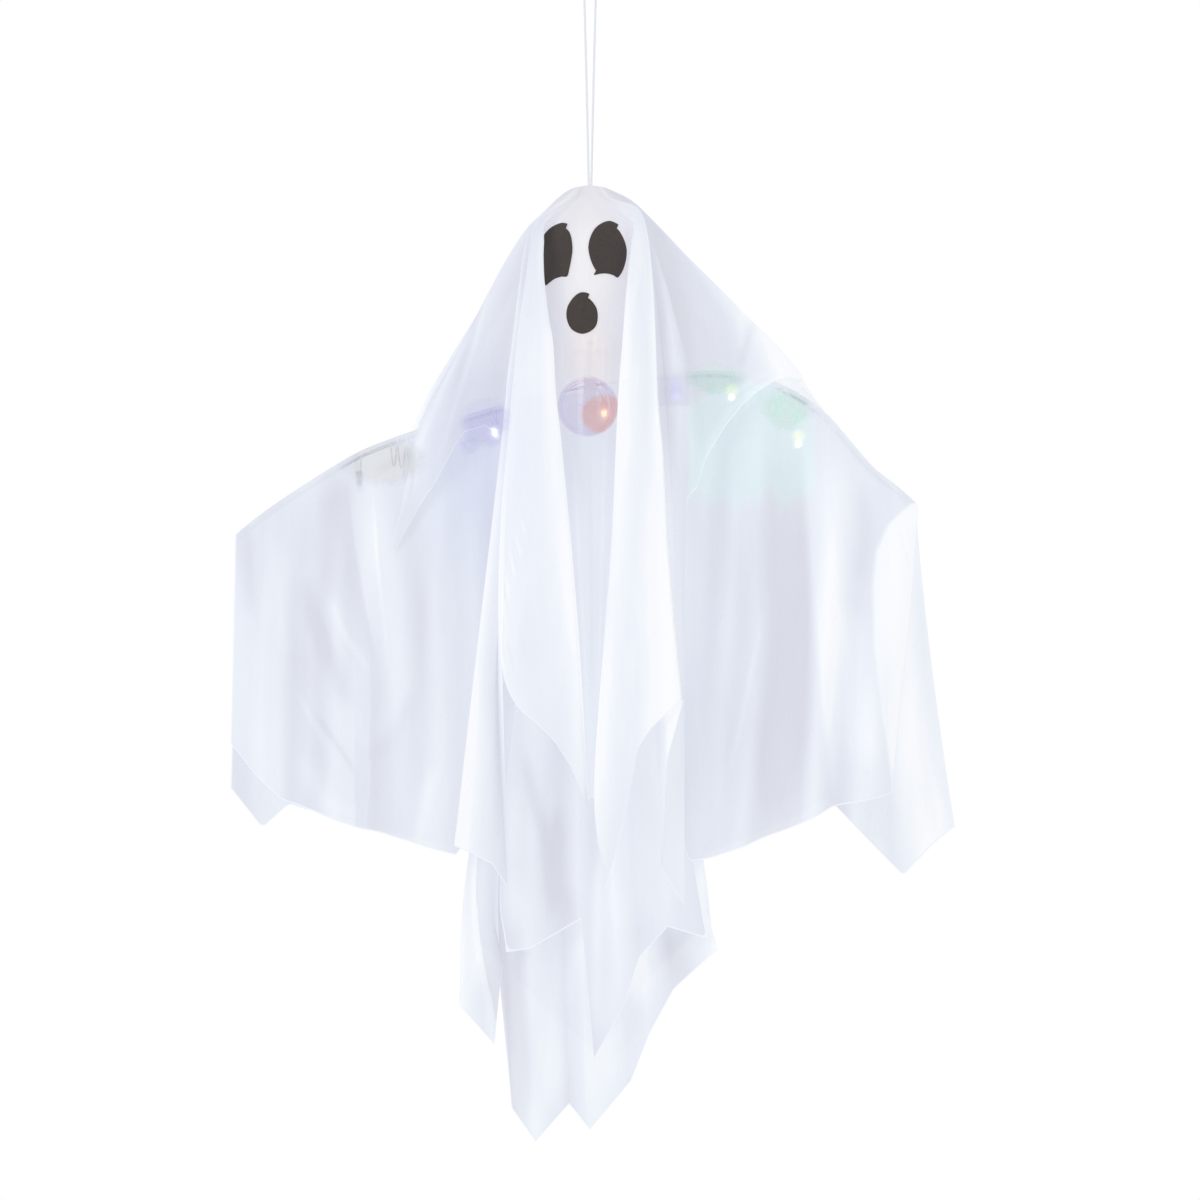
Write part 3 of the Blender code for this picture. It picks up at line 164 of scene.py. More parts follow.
KNOT_DROP = 0.01651  # knot's top, below the crown
CORD_R = 0.001
TURN_R, TURN_Z = 0.0054, -0.0044  # the cord's turn over the hook
half = [
    (0.00125, 0, -CROWN - KNOT_DROP + 0.0003),
    (0.00125, 0, -CROWN),
    (0.00145, 0, -CROWN + 0.012),
    (0.0034, 0, -CROWN + 0.10),
    (TURN_R, 0, -0.014),
    (TURN_R, 0, -0.008),
]
over = [(TURN_R * math.cos(a), 0, TURN_Z + TURN_R * math.sin(a)) for a in np.radians([15, 52, 90, 128, 165])]
cord_route = through(half + over + [(-x, y, z) for x, y, z in half[::-1]], 150)
hanging_cord = tube("hanging_cord", cord_route, CORD_R, 4)
cord_material, tree, shader = material("braided_cord", (0.86, 0.87, 0.88), 0.85)
strand = banded(tree, 260.0, 1.2, "DIAGONAL", Detail=1.0)
shade = ramp(tree, strand, (0.74, 0.76, 0.79), (0.97, 0.97, 0.97))
tree.links.new(shade.outputs["Color"], shader.inputs["Base Color"])
bumps(tree, shader, strand, 0.6, 0.0004)
hanging_cord.data.materials.append(cord_material)
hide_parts("hang_cord")
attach(hanging_cord, "cord")

# Knot and bead. The knot is a tight overhand knot in the doubled cord, drawn up under the bead. The bead is
# turned beech with a bore for the cord, and the crown of the head rests on it.
KNOT_R, KNOT_PITCH = 0.0033, 0.0017  # its turns' middle line, and from one turn to the next
knot_top = -CROWN - KNOT_DROP
angle = np.linspace(0, 2 * math.pi, 40, endpoint=False)
knot_turns = []
for turn, tilt in enumerate(np.radians((-25, 0, 25))):
    x, y = KNOT_R * np.cos(angle), KNOT_R * np.sin(angle)
    z = 0.0012 * np.sin(angle + turn) - 0.0016 - KNOT_PITCH * turn + x * math.tan(tilt) * 0.4
    knot_turns.append(np.column_stack([x, y, knot_top + z]))
knot_curve = tube("knot_turns", knot_turns[0], 0.00105, 4, cyclic=True)
for ring in knot_turns[1:]:
    add_line(knot_curve.data, ring, cyclic=True)
share = np.linspace(0, 1, 8)
core = np.column_stack(
    [0.0008 * np.sin(9 * share), 0.0008 * np.cos(9 * share), knot_top - 0.0004 - 0.0060 * share]
)
add_line(knot_curve.data, core).points.foreach_set("radius", 1.9 - 0.8 * share)
knot_curve.data.materials.append(cord_material)
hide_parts("cord_knot")
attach(knot_curve, "knot")


def quads(columns, rows, round_=False, closed=False):
    """The corners of every face of a grid, columns by rows, which can close on itself either way."""
    i, j = np.indices((columns if round_ else columns - 1, rows if closed else rows - 1)).reshape(2, -1)
    n, k = (i + 1) % columns, (j + 1) % rows
    return np.column_stack([i * rows + j, n * rows + j, n * rows + k, i * rows + k])


OTHER_WAY = [0, 3, 2, 1]  # a face's corners taken the other way round


def turned(name, profile, origin, axis=(0, 0, 1), steps=64, closed=False):
    """A mesh turned from a profile of (radius, height) about an axis.

    Each point is the radius times the cosine and the sine of the turn, and the height along the axis. Its
    faces are smooth, apart from edges sharper than 38 degrees.
    """
    profile = np.asarray(profile, float)
    angle = np.linspace(0, 2 * math.pi, steps, endpoint=False)
    radius, height = profile.T
    points = np.stack(
        [np.outer(np.cos(angle), radius), np.outer(np.sin(angle), radius), np.tile(height, (steps, 1))],
        axis=2
    )
    turn = np.array(Vector(axis).to_track_quat("Z", "Y").to_matrix())
    points = points.reshape(-1, 3) @ turn.T + np.asarray(origin, float)
    faces = quads(steps, len(profile), True, closed)[:, OTHER_WAY]
    mesh = bpy.data.meshes.new(name)
    mesh.from_pydata(points.tolist(), [], faces.tolist())
    work = bmesh.new()
    work.from_mesh(mesh)
    bmesh.ops.remove_doubles(work, verts=work.verts, dist=1e-6)
    bmesh.ops.recalc_face_normals(work, faces=work.faces)
    for face in work.faces:
        face.smooth = True
    for edge in work.edges:
        if len(edge.link_faces) == 2 and edge.calc_face_angle() > math.radians(38):
            edge.smooth = False
    work.to_mesh(mesh)
    work.free()
    return stand(name, mesh)


BEAD_R, BORE_R = 0.007, 0.0031
PIVOT_Z = -CROWN - 0.00921
start = math.asin(BORE_R / BEAD_R)
bead_profile = [(BEAD_R * math.sin(a), BEAD_R * math.cos(a)) for a in np.linspace(start, math.pi - start, 30)]
bead = turned("turned_bead", bead_profile, (0, 0, PIVOT_Z), closed=True)
bead_material, tree, shader = material("bead_wood", (0.72, 0.55, 0.36), 0.5)
shade = ramp(tree, banded(tree, 120.0, 5.0, "X", Detail=3.0), (0.55, 0.38, 0.22), (0.78, 0.62, 0.42))
tree.links.new(shade.outputs["Color"], shader.inputs["Base Color"])
bead.data.materials.append(bead_material)
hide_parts("anchor_bead")
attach(bead, "bead")

# Painted light of the lamps. One node group paints whatever hangs round them, by place: violet, red and green
# light on the cloth and the leads, the warm glow of the lit head, the pale spots of the lenses, and where the
# cloth lets what is behind it show.
MM = 0.001
PIXEL = 0.96 * MM
CROWN_SPOT = (590, 186)  # the crown in the photograph's 1200 pixel frame


def at(px, py):
    """Where a spot of the photograph is across and in height: its pixels from the crown, 0.96 mm each."""
    return (px - CROWN_SPOT[0]) * PIXEL, -CROWN - (py - CROWN_SPOT[1]) * PIXEL


LENSES = {
    "led_left_wrist": (-0.221, -0.0068, -CROWN - 0.286),
    "led_left_shoulder": (-0.091, -0.0068, -CROWN - 0.2375),
    "led_neck": (0.0135, -0.014, -CROWN - 0.2195),
    "led_case": (0.082, -0.0120, -CROWN - 0.2040),
    "led_right_shoulder": (0.1345, -0.0068, -CROWN - 0.205),
    "led_right_elbow": (0.199, -0.0068, -CROWN - 0.2485),
}


def node_group(name, taken, given):
    """A node group with the sockets that it takes and gives, each a name and its kind."""
    made = bpy.data.node_groups.new(name, "ShaderNodeTree")
    for way, sockets in (("INPUT", taken), ("OUTPUT", given)):
        for socket, kind in sockets.items():
            made.interface.new_socket(socket, in_out=way, socket_type=f"NodeSocket{kind}")
    return made, node(made, "NodeGroupInput").outputs, node(made, "NodeGroupOutput").inputs


def noise(tree, place, scale, detail, **more):
    """Cloudy noise from 0 to 1."""
    inputs = {"Vector": place, "Scale": scale, "Detail": detail, **more}
    return node(tree, "ShaderNodeTexNoise", inputs).outputs["Fac"]


def numbers(tree, operation, *values):
    """What an operation on plain numbers gives."""
    return node(tree, "ShaderNodeMath", dict(enumerate(values)), operation=operation).outputs[0]


def vectors(tree, operation, *values):
    """What an operation on vectors gives: a vector, or a plain number for a length or a distance."""
    keys = (0, "Scale") if operation == "SCALE" else range(3)
    made = node(tree, "ShaderNodeVectorMath", dict(zip(keys, values)), operation=operation)
    return made.outputs["Value" if operation in ("LENGTH", "DISTANCE") else "Vector"]


def ranged(tree, value, old, new=(0.0, 1.0), smooth=False):
    """A value carried from the old range to the new, evenly or along a smooth step, and held at its ends."""
    inputs = {"Value": value, "From Min": old[0], "From Max": old[1], "To Min": new[0], "To Max": new[1]}
    kind = "SMOOTHSTEP" if smooth else "LINEAR"
    return node(tree, "ShaderNodeMapRange", inputs, interpolation_type=kind).outputs["Result"]


def mixed(tree, factor, a, b):
    """A colour between two: a plus the factor times b less a."""
    return node(tree, "ShaderNodeMix", {"Factor": factor, "A": a, "B": b}, data_type="RGBA").outputs["Result"]


tints, group_in, group_out = node_group(
    "lamp_tints", {"Vector": "Vector"}, {"Tint": "Color", "Light": "Color", "Show": "Float"}
)
plain = group_in["Vector"]
rag = node(tints, "ShaderNodeTexNoise", {"Vector": plain, "Scale": 95.0, "Detail": 2.0}).outputs["Color"]
rag = vectors(tints, "SUBTRACT", rag, (0.5, 0.5, 0.5))
ragged = vectors(tints, "MULTIPLY_ADD", rag, (0.011, 0.0, 0.011), plain)
SPOT_Y, SPOT_DEPTH = -0.012, 0.14  # a patch's middle from front to back, and how far it reaches from there


def spot(source, place, radii, soft):
    """A soft round patch about a place across and in height: 1 inside the radii and 0 beyond them.

    It is a smooth step down of the distance, with each way divided by its radius, about a distance of 1.
    """
    offset = vectors(tints, "SUBTRACT", source, (place[0], SPOT_Y, place[1]))
    scaled = vectors(tints, "MULTIPLY", offset, (1 / radii[0], 1 / SPOT_DEPTH, 1 / radii[1]))
    return ranged(tints, vectors(tints, "LENGTH", scaled), (1 - soft, 1 + soft), (1.0, 0.0), smooth=True)


def both(a, b):
    """The product of two masks, which is 1 where both of them are."""
    return numbers(tints, "MULTIPLY", a, b)


def band(value, low, high, soft_low, soft_high):
    """1 between low and high, with soft ends: the product of a smooth step up and a smooth step down."""
    rise = ranged(tints, value, (low - soft_low, low + soft_low), smooth=True)
    fall = ranged(tints, value, (high - soft_high, high + soft_high), (1.0, 0.0), smooth=True)
    return both(rise, fall)


cut = node(tints, "ShaderNodeSeparateXYZ", {0: plain}).outputs
fingers = noise(tints, node(tints, "ShaderNodeCombineXYZ", {"X": cut["X"]}).outputs[0], 62.0, 2.0)
hanging = numbers(tints, "MULTIPLY_ADD", fingers, 0.075, cut["Z"])
green_low = band(hanging, at(0, 500)[1] + 0.0375, 1.0, 0.010, 0.1)
green_wide = band(cut["X"], at(688, 0)[0], at(812, 0)[0], 0.0015, 0.004)
green_round = spot(plain, at(745, 455), (0.075, 0.068), 0.06)
case_wide = band(cut["X"], at(657, 0)[0], at(688, 0)[0], 0.003, 0.0015)
case_high = band(cut["Z"], at(0, 409)[1], at(0, 374)[1], 0.0015, 0.008)
hank_round = spot(plain, at(588, 409), (0.0290, 0.0290), 0.05)
hank_strip = band(cut["X"], at(578, 0)[0], at(583.5, 0)[0], 0.001, 0.001)
# Most zones are painted lamp light: violet round the left shoulder lamp, red by the neck lamp, a pale blue
# spot at the case lamp, green by the right lamps, and the warm glow of the lit head on the face and below it.
# The others paint what shows through: the hank, the case and the lead loops by the left wrist.
zones = (  # how strong, its colour, and how far what lies behind shows there
    (spot(ragged, at(488, 424), (0.0225, 0.0200), 0.30), (0.815, 0.79, 0.935), 0.9),
    (spot(ragged, at(470, 446), (0.0085, 0.0085), 0.35), (0.88, 0.87, 0.96), 0.7),
    (spot(plain, at(480, 462), (0.040, 0.088), 0.8), (0.93, 0.938, 1.0), 0.0),
    (hank_round, (0.84, 0.80, 0.905), 0.95),
    (both(hank_strip, hank_round), (1.08, 1.10, 1.06), 0.0),
    (both(spot(plain, at(605, 416), (0.0235, 0.0185), 0.12), hank_round), (1.06, 0.79, 0.67), 0.0),
    (both(case_wide, case_high), (0.945, 0.935, 0.965), 0.4),
    (spot(plain, at(675, 390), (0.006, 0.007), 0.7), (0.94, 0.94, 1.05), 0.0),
    (both(both(green_low, green_wide), green_round), (0.965, 1.06, 1.012), 0.12),
    (spot(ragged, at(714, 381), (0.026, 0.0140), 0.3), (0.81, 0.935, 0.865), 0.9),
    (spot(ragged, at(786, 410), (0.0215, 0.0175), 0.3), (0.83, 0.92, 0.86), 0.9),
    (spot(ragged, at(384, 462), (0.036, 0.019), 0.35), (0.84, 0.84, 0.82), 1.0),
    (spot(plain, at(588, 262), (0.036, 0.088), 0.45), (0.965, 0.928, 0.908), 0.0),
    (spot(plain, at(589, 362), (0.028, 0.030), 0.6), (1.03, 0.96, 0.92), 0.0),
)
WHITE = (1, 1, 1, 1)
tint = reduce(
    lambda a, b: vectors(tints, "MULTIPLY", a, b),
    [mixed(tints, factor, WHITE, (*colour, 1)) for factor, colour, _ in zones],
)
show = reduce(
    lambda a, b: numbers(tints, "MAXIMUM", a, b),
    [both(factor, clear) for factor, _, clear in zones],
)
# The painted light, and what shows through, fade to half on the back of the figure.
behind = ranged(tints, cut["Y"], (0.02, 0.055), (1.0, 0.5))
tints.links.new(mixed(tints, behind, WHITE, tint), group_out["Tint"])
tints.links.new(both(show, behind), group_out["Show"])
# Painted light of the lit lenses: a bright core and a faint halo over each, on whatever lies in front of it.
CORE_R, HALO_R = 0.0030, 0.0060  # of a lens's light as it shows through the cloth
shines = []
for name, core, halo, rise in (
    ("led_left_shoulder", (0.55, 0.53, 0.60), (0.10, 0.10, 0.14), 0.0),
    ("led_neck", (0.34, 0.24, 0.10), (0.10, 0.04, 0.02), 0.0),
    ("led_case", (0.02, 0.02, 0.06), (0.0, 0.0, 0.02), 0.0),
    ("led_right_shoulder", (0.46, 0.44, 0.40), (0.12, 0.10, -0.03), 0.007),
    ("led_right_elbow", (0.44, 0.42, 0.34), (0.12, 0.10, -0.03), 0.007),
):
    x, _, z = LENSES[name]
    for radius, colour, higher in ((CORE_R, core, 0.0), (HALO_R, halo, rise)):
        shines.append(vectors(tints, "SCALE", colour, spot(plain, (x, z + higher), (radius, radius), 0.5)))
tints.links.new(reduce(lambda a, b: vectors(tints, "ADD", a, b), shines), group_out["Light"])


def tinted(tree):
    """The lamps' painted light at each place of a material: what the group above gives there."""
    return node(tree, "ShaderNodeGroup", {"Vector": object_place(tree)}, node_tree=tints).outputs


# Head. A thin egg of blown plastic, open at the crown for the cord and drawn in to a collar at the neck. The
# collar is screwed to the neck plug, and a lamp inside lights the shell warm.
HEAD_TOP, HEAD_LENGTH, HEAD_R = 0.002, 0.148, 0.050
CORD_OPENING_R = 0.0055
COLLAR_R, COLLAR_BORE_R, COLLAR_LENGTH = 0.017, 0.015, 0.0135
INNER_SKIN = 0.97  # its size as a share of the outer skin's


def egg(angle):
    """(radius, drop below the crown) of the egg's skin at a polar angle from its top.

    The radius is 50 mm times the angle's sine, and with its cosine a tenth wider at the top and narrower at
    the foot.
    """
    radius = HEAD_R * np.sin(angle) * (1 + 0.10 * np.cos(angle))
    return radius, HEAD_TOP + HEAD_LENGTH / 2 * (1 - np.cos(angle))


def egg_radius(drop):
    """Radius of the egg at a drop: at the angle whose cosine is 1 less the drop in halves of the length."""
    share = np.clip((np.asarray(drop, float) - HEAD_TOP) / (HEAD_LENGTH / 2), 0, 2)
    return egg(np.arccos(1 - share))[0]


angles = np.linspace(0, math.pi, 400)
radii = egg(angles)[0]
top_angle = float(np.interp(CORD_OPENING_R, radii[:150], angles[:150]))
collar_angle = float(np.interp(-COLLAR_R, -radii[200:], angles[200:]))
outer = [egg(a) for a in np.linspace(top_angle, collar_angle, 60)]
collar_end = outer[-1][1] + COLLAR_LENGTH
middle = HEAD_TOP + HEAD_LENGTH / 2
collar = [
    (COLLAR_R, -collar_end + 0.0004), (COLLAR_R - 0.0003, -collar_end),
    (COLLAR_BORE_R + 0.0002, -collar_end), (COLLAR_BORE_R, -collar_end + 0.0003),
]
inner = [(r * INNER_SKIN, -(middle + (d - middle) * INNER_SKIN)) for r, d in outer]
inner = [p for p in inner if p[0] > COLLAR_BORE_R + 0.0002 or p[1] > -middle][::-1]
inner[-1] = (CORD_OPENING_R, inner[-1][1])
shell_profile = [(r, -d) for r, d in outer] + collar + [(COLLAR_BORE_R, inner[0][1])] + inner
head = turned("lit_head", shell_profile, (0, 0, -CROWN), steps=96, closed=True)


def glows(tree, shader, colour, strength=1.0):
    """Gives a shader light of its own: the colour times the strength."""
    tree.links.new(colour, shader.inputs["Emission Color"])
    shader.inputs["Emission Strength"].default_value = strength


head_material, tree, shader = material("blown_shell", (0.90, 0.86, 0.83), 0.42)
place = object_place(tree)
bumps(tree, shader, noise(tree, place, 60.0, 4.0), 0.15, 0.0006)
# The shell's warm glow is painted light from the lamp inside: its emission fades to three quarters towards
# the collar.
height = node(tree, "ShaderNodeSeparateXYZ", {0: place}).outputs["Z"]
lit = ranged(tree, height, (-CROWN - 0.15, -CROWN - 0.10), (0.75, 1.0), smooth=True)
glows(tree, shader, vectors(tree, "SCALE", (0.38, 0.31, 0.27), lit))
shader.inputs["Subsurface Weight"].default_value = 0.2
shader.inputs["Subsurface Radius"].default_value = (0.01, 0.008, 0.006)
head.data.materials.append(head_material)
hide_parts("head_shell")
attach(head, "figure")

# Arm wire and its caps. One bare drawn steel wire, 3 mm thick, is bent to the shoulders' line and clamped in
# the neck plug. A soft moulded cap is pushed over each end.
ARM_LINE = (
    (-338, 339), (-307, 315), (-276, 294), (-246, 275), (-218, 259), (-191, 248), (-164, 238.5), (-91, 217),
    (-30, 198), (0, 192), (30, 187.5), (70, 185), (130, 183), (165, 189), (200, 205), (229, 228), (241, 242),
    (268, 273), (295, 295), (315, 313),
)


def curve_at(x, table):
    """Smooth value at x of a table of (place, value) pairs: a cubic between each two of them."""
    places, values = np.array(table, float).T
    slopes = np.gradient(values, places)
    x = np.clip(np.asarray(x, float), places[0], places[-1])
    i = np.clip(np.searchsorted(places, x) - 1, 0, len(places) - 2)
    width = places[i + 1] - places[i]
    t = (x - places[i]) / width
    return (
        values[i] * (1 + 2 * t) * (1 - t) ** 2
        + slopes[i] * width * t * (1 - t) ** 2
        + values[i + 1] * t**2 * (3 - 2 * t)
        + slopes[i + 1] * width * t**2 * (t - 1)
    )


def wire_z(x):
    """Height of the wire's middle at x, from the table of its drops below the crown."""
    return -CROWN - curve_at(np.asarray(x) / MM, ARM_LINE) * MM


def above_wire(x, distance):
    """Height that clears the wire by a distance: the distance times the root of 1 plus its slope squared."""
    slope = (wire_z(np.asarray(x) + 0.002) - wire_z(np.asarray(x) - 0.002)) / 0.004
    return wire_z(x) + distance * np.sqrt(1 + slope**2)


WIRE_R = 0.0015
across = np.linspace(-0.334, 0.306, 200)
wire_route = np.column_stack([across, 0 * across, wire_z(across)])
wire = tube("bent_wire", wire_route, WIRE_R, 6)


def stretched(tree, place, scale):
    """A place with each way multiplied by its scale, which draws noise out into streaks."""
    return node(tree, "ShaderNodeMapping", {"Vector": place, "Scale": scale}).outputs[0]


wire_material, tree, shader = material("drawn_steel", (0.60, 0.61, 0.63), 0.28, 1.0)
streak = noise(tree, stretched(tree, object_place(tree), (30.0, 900.0, 900.0)), 1.0, 2.0)
tree.links.new(ranged(tree, streak, (0.0, 1.0), (0.18, 0.42)), shader.inputs["Roughness"])
wire.data.materials.append(wire_material)
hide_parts("arm_wire")
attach(wire, "figure")
cap_material, tree, shader = material("soft_cap", (0.86, 0.86, 0.84), 0.65)
bumps(tree, shader, noise(tree, object_place(tree), 900.0, 2.0), 0.2, 0.0002)
CAP_PROFILE = [  # radius, and height over the wire's end
    (0, 0.004), (0.0012, 0.0039), (0.0022, 0.0034), (0.0030, 0.0025), (0.0033, 0.0014), (0.0033, -0.0090),
    (0.0031, -0.0096), (0.0028, -0.0100), (0.0018, -0.0100), (0.0018, 0.0004), (0, 0.0004),
]
for name, end, inward in (
    ("left_wrist_cap", wire_route[0], wire_route[6]),
    ("right_wrist_cap", wire_route[-1], wire_route[-7]),
):
    outward = Vector(end - inward).normalized()
    cap = turned(f"soft_{name}", CAP_PROFILE, end, outward, 40)
    cap.data.materials.append(cap_material)
    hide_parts(name)
    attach(cap, "figure")

# Lamps. Each is a clear moulded holder with a domed lens. Six hang lens down from their leads, and one stands
# on the neck plug inside the head. They shine violet, red, green or warm, and the left wrist's is out.
LAMP_R, LAMP_LENGTH, LENS_R, LENS_LENGTH = 0.0035, 0.009, 0.0025, 0.006
SPIGOT_LENGTH = 0.011  # of the neck plug inside the collar
HEAD_LAMP = (0.0105, 0, -CROWN - collar_end + SPIGOT_LENGTH + 0.0003 + LAMP_LENGTH + LENS_LENGTH / 2)
LENSES["led_head"] = HEAD_LAMP
LENS_LIGHT = {
    "led_left_shoulder": ((0.92, 0.90, 1.0), 1.6, "lamp_violet"),
    "led_neck": ((1.0, 0.52, 0.30), 2.2, "lamp_red"),
    "led_case": ((0.42, 0.36, 0.95), 1.1, "lamp_violet"),
    "led_right_shoulder": ((0.95, 1.0, 0.62), 2.4, "lamp_green"),
    "led_right_elbow": ((0.97, 1.0, 0.58), 2.4, "lamp_green"),
    "led_left_wrist": ((0.30, 0.27, 0.26), 0.05, "lamp_clear"),
    "led_head": ((1.0, 0.82, 0.60), 2.0, "lamp_warm"),
}
holder_material, tree, shader = material("lamp_holder", (0.86, 0.88, 0.90), 0.25)
shader.inputs["Transmission Weight"].default_value = 0.4
# The holders take the lamps' painted light: its colours on their base, and the lenses' painted glow as their
# own light.
near = tinted(tree)
tree.links.new(near["Tint"], shader.inputs["Base Color"])
glows(tree, shader, near["Light"])
holder_profile = [  # with a fine groove over the lens's seat
    (0, LAMP_LENGTH), (LAMP_R - 0.0008, LAMP_LENGTH), (LAMP_R - 0.0002, LAMP_LENGTH - 0.0003),
    (LAMP_R, LAMP_LENGTH - 0.0010), (LAMP_R, 0.0016), (LAMP_R - 0.0003, 0.0014), (LAMP_R - 0.0003, 0.0009),
    (LAMP_R, 0.0007), (LAMP_R, 0.0002), (LAMP_R - 0.0003, 0.0), (LENS_R, 0.0),
]
quarter = np.linspace(0, math.pi / 2, 14)
dome = np.column_stack([LENS_R * np.cos(quarter), -(LENS_LENGTH - LENS_R) - LENS_R * np.sin(quarter)])
dome = np.vstack([(LENS_R, 0.0), dome])
faces_up = {}
for name, middle_of in LENSES.items():
    down = Vector((0, 0, 1 if name == "led_head" else -1))
    origin = Vector(middle_of) - down * (LENS_LENGTH / 2)
    holder = turned(f"{name}_holder", holder_profile, origin, -down, 40)
    holder.data.materials.append(holder_material)
    lens = turned(f"{name}_lens", dome, origin, -down, 40)
    colour, strength, slot = LENS_LIGHT[name]
    lens_material, tree, shader = material(f"{name}_light", colour, 0.12)
    core = vectors(tree, "DISTANCE", object_place(tree), middle_of)
    core = ranged(tree, core, (0.0026, 0.0040), (1.0, 0.75))
    glows(tree, shader, vectors(tree, "SCALE", colour, core), strength)
    lens.data.materials.append(lens_material)
    lens.parent = holder
    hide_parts(name)
    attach(holder, "figure")
    faces_up[name] = np.array(origin - down * LAMP_LENGTH)

# Leads. Fine clear-sleeved pairs of stranded wire run beside the arm wire, hang from it in loops and join the
# lamps in one string. What is left over is wound up in a hank at the neck.
LEAD_D, PAIR, GAP = 0.0016, 0.0013, 0.0003
LEAD_RUN = WIRE_R + LEAD_D / 2 + 0.0008
LOOP_PITCH = 0.0085


def wound(start_x, end_x, hanks, side=-1, radius=0.015):
    """Centre line of a lead that runs beside the arm wire and hangs from it in loops at each (place, loops).

    A loop is a circle about the wire. Its radius grows from the run's to its own and back over the turns,
    while it moves on along the wire by the loops' pitch.
    """
    direction = 1 if end_x > start_x else -1
    parts = []
    x = start_x
    for stop, loops in (*hanks, (end_x, 0)):
        run = np.linspace(x, stop, max(2, int(abs(stop - x) / 0.008)), endpoint=loops == 0)
        parts.append(np.column_stack([run, np.full(len(run), side * LEAD_RUN), wire_z(run)]))
        turns = np.linspace(0, 1, loops * 20, endpoint=False)
        grow = np.minimum(1, np.minimum(turns, 1 - turns) * loops * 2.2)
        swell = LEAD_RUN + (radius - LEAD_RUN) * np.sin(grow * math.pi / 2) ** 1.5
        angle = side * math.pi * 0.5 + 2 * math.pi * loops * turns
        across = stop + direction * loops * LOOP_PITCH * turns
        height = above_wire(across, LEAD_RUN) - swell * (1 - np.cos(angle))
        parts.append(np.column_stack([across, swell * np.sin(angle), height]))
        x = stop + direction * loops * LOOP_PITCH
    return np.vstack(parts)


def down_to(face, side, bend):
    """The last points of a lead that comes straight down into a holder's top, to one side of its middle."""
    x, y, z = face
    x_in = x + side * PAIR
    return [(x + side * PAIR * 2.2, y + 0.003, z + bend), (x_in, y, z + 0.003), (x_in, y, z + GAP)]


def below(drop):
    """Height of a place at a drop below the crown."""
    return -CROWN - drop


CASE_X, CASE_LENGTH, CASE_DEPTH = 0.060, 0.066, 0.0155
FLANGE_T, STEM_LENGTH = 0.0025, 0.055  # of the neck plug
HANK_X, HANK_Y, HANK_DROP, HANK_R = -0.004, -0.014, 0.2125, 0.0315
case_top = float(wire_z(CASE_X)) - 0.0085
outlet = case_top - 0.006
flange_top = collar_end + GAP
under_flange = below(flange_top + FLANGE_T)
lamp_foot = below(collar_end - SPIGOT_LENGTH)
neck, case_lamp = faces_up["led_neck"], faces_up["led_case"]
shoulder, wrist = faces_up["led_left_shoulder"], faces_up["led_left_wrist"]
right, elbow = faces_up["led_right_shoulder"], faces_up["led_right_elbow"]
turn = np.linspace(0, 6 * math.pi, 73)
coil_r = HANK_R - LEAD_D / 2 - 0.0026 * turn / (2 * math.pi)
coil = (HANK_X + coil_r * np.sin(turn), HANK_Y + 0.00008 * turn, below(HANK_DROP) + coil_r * np.cos(turn))
coil = np.column_stack(coil)
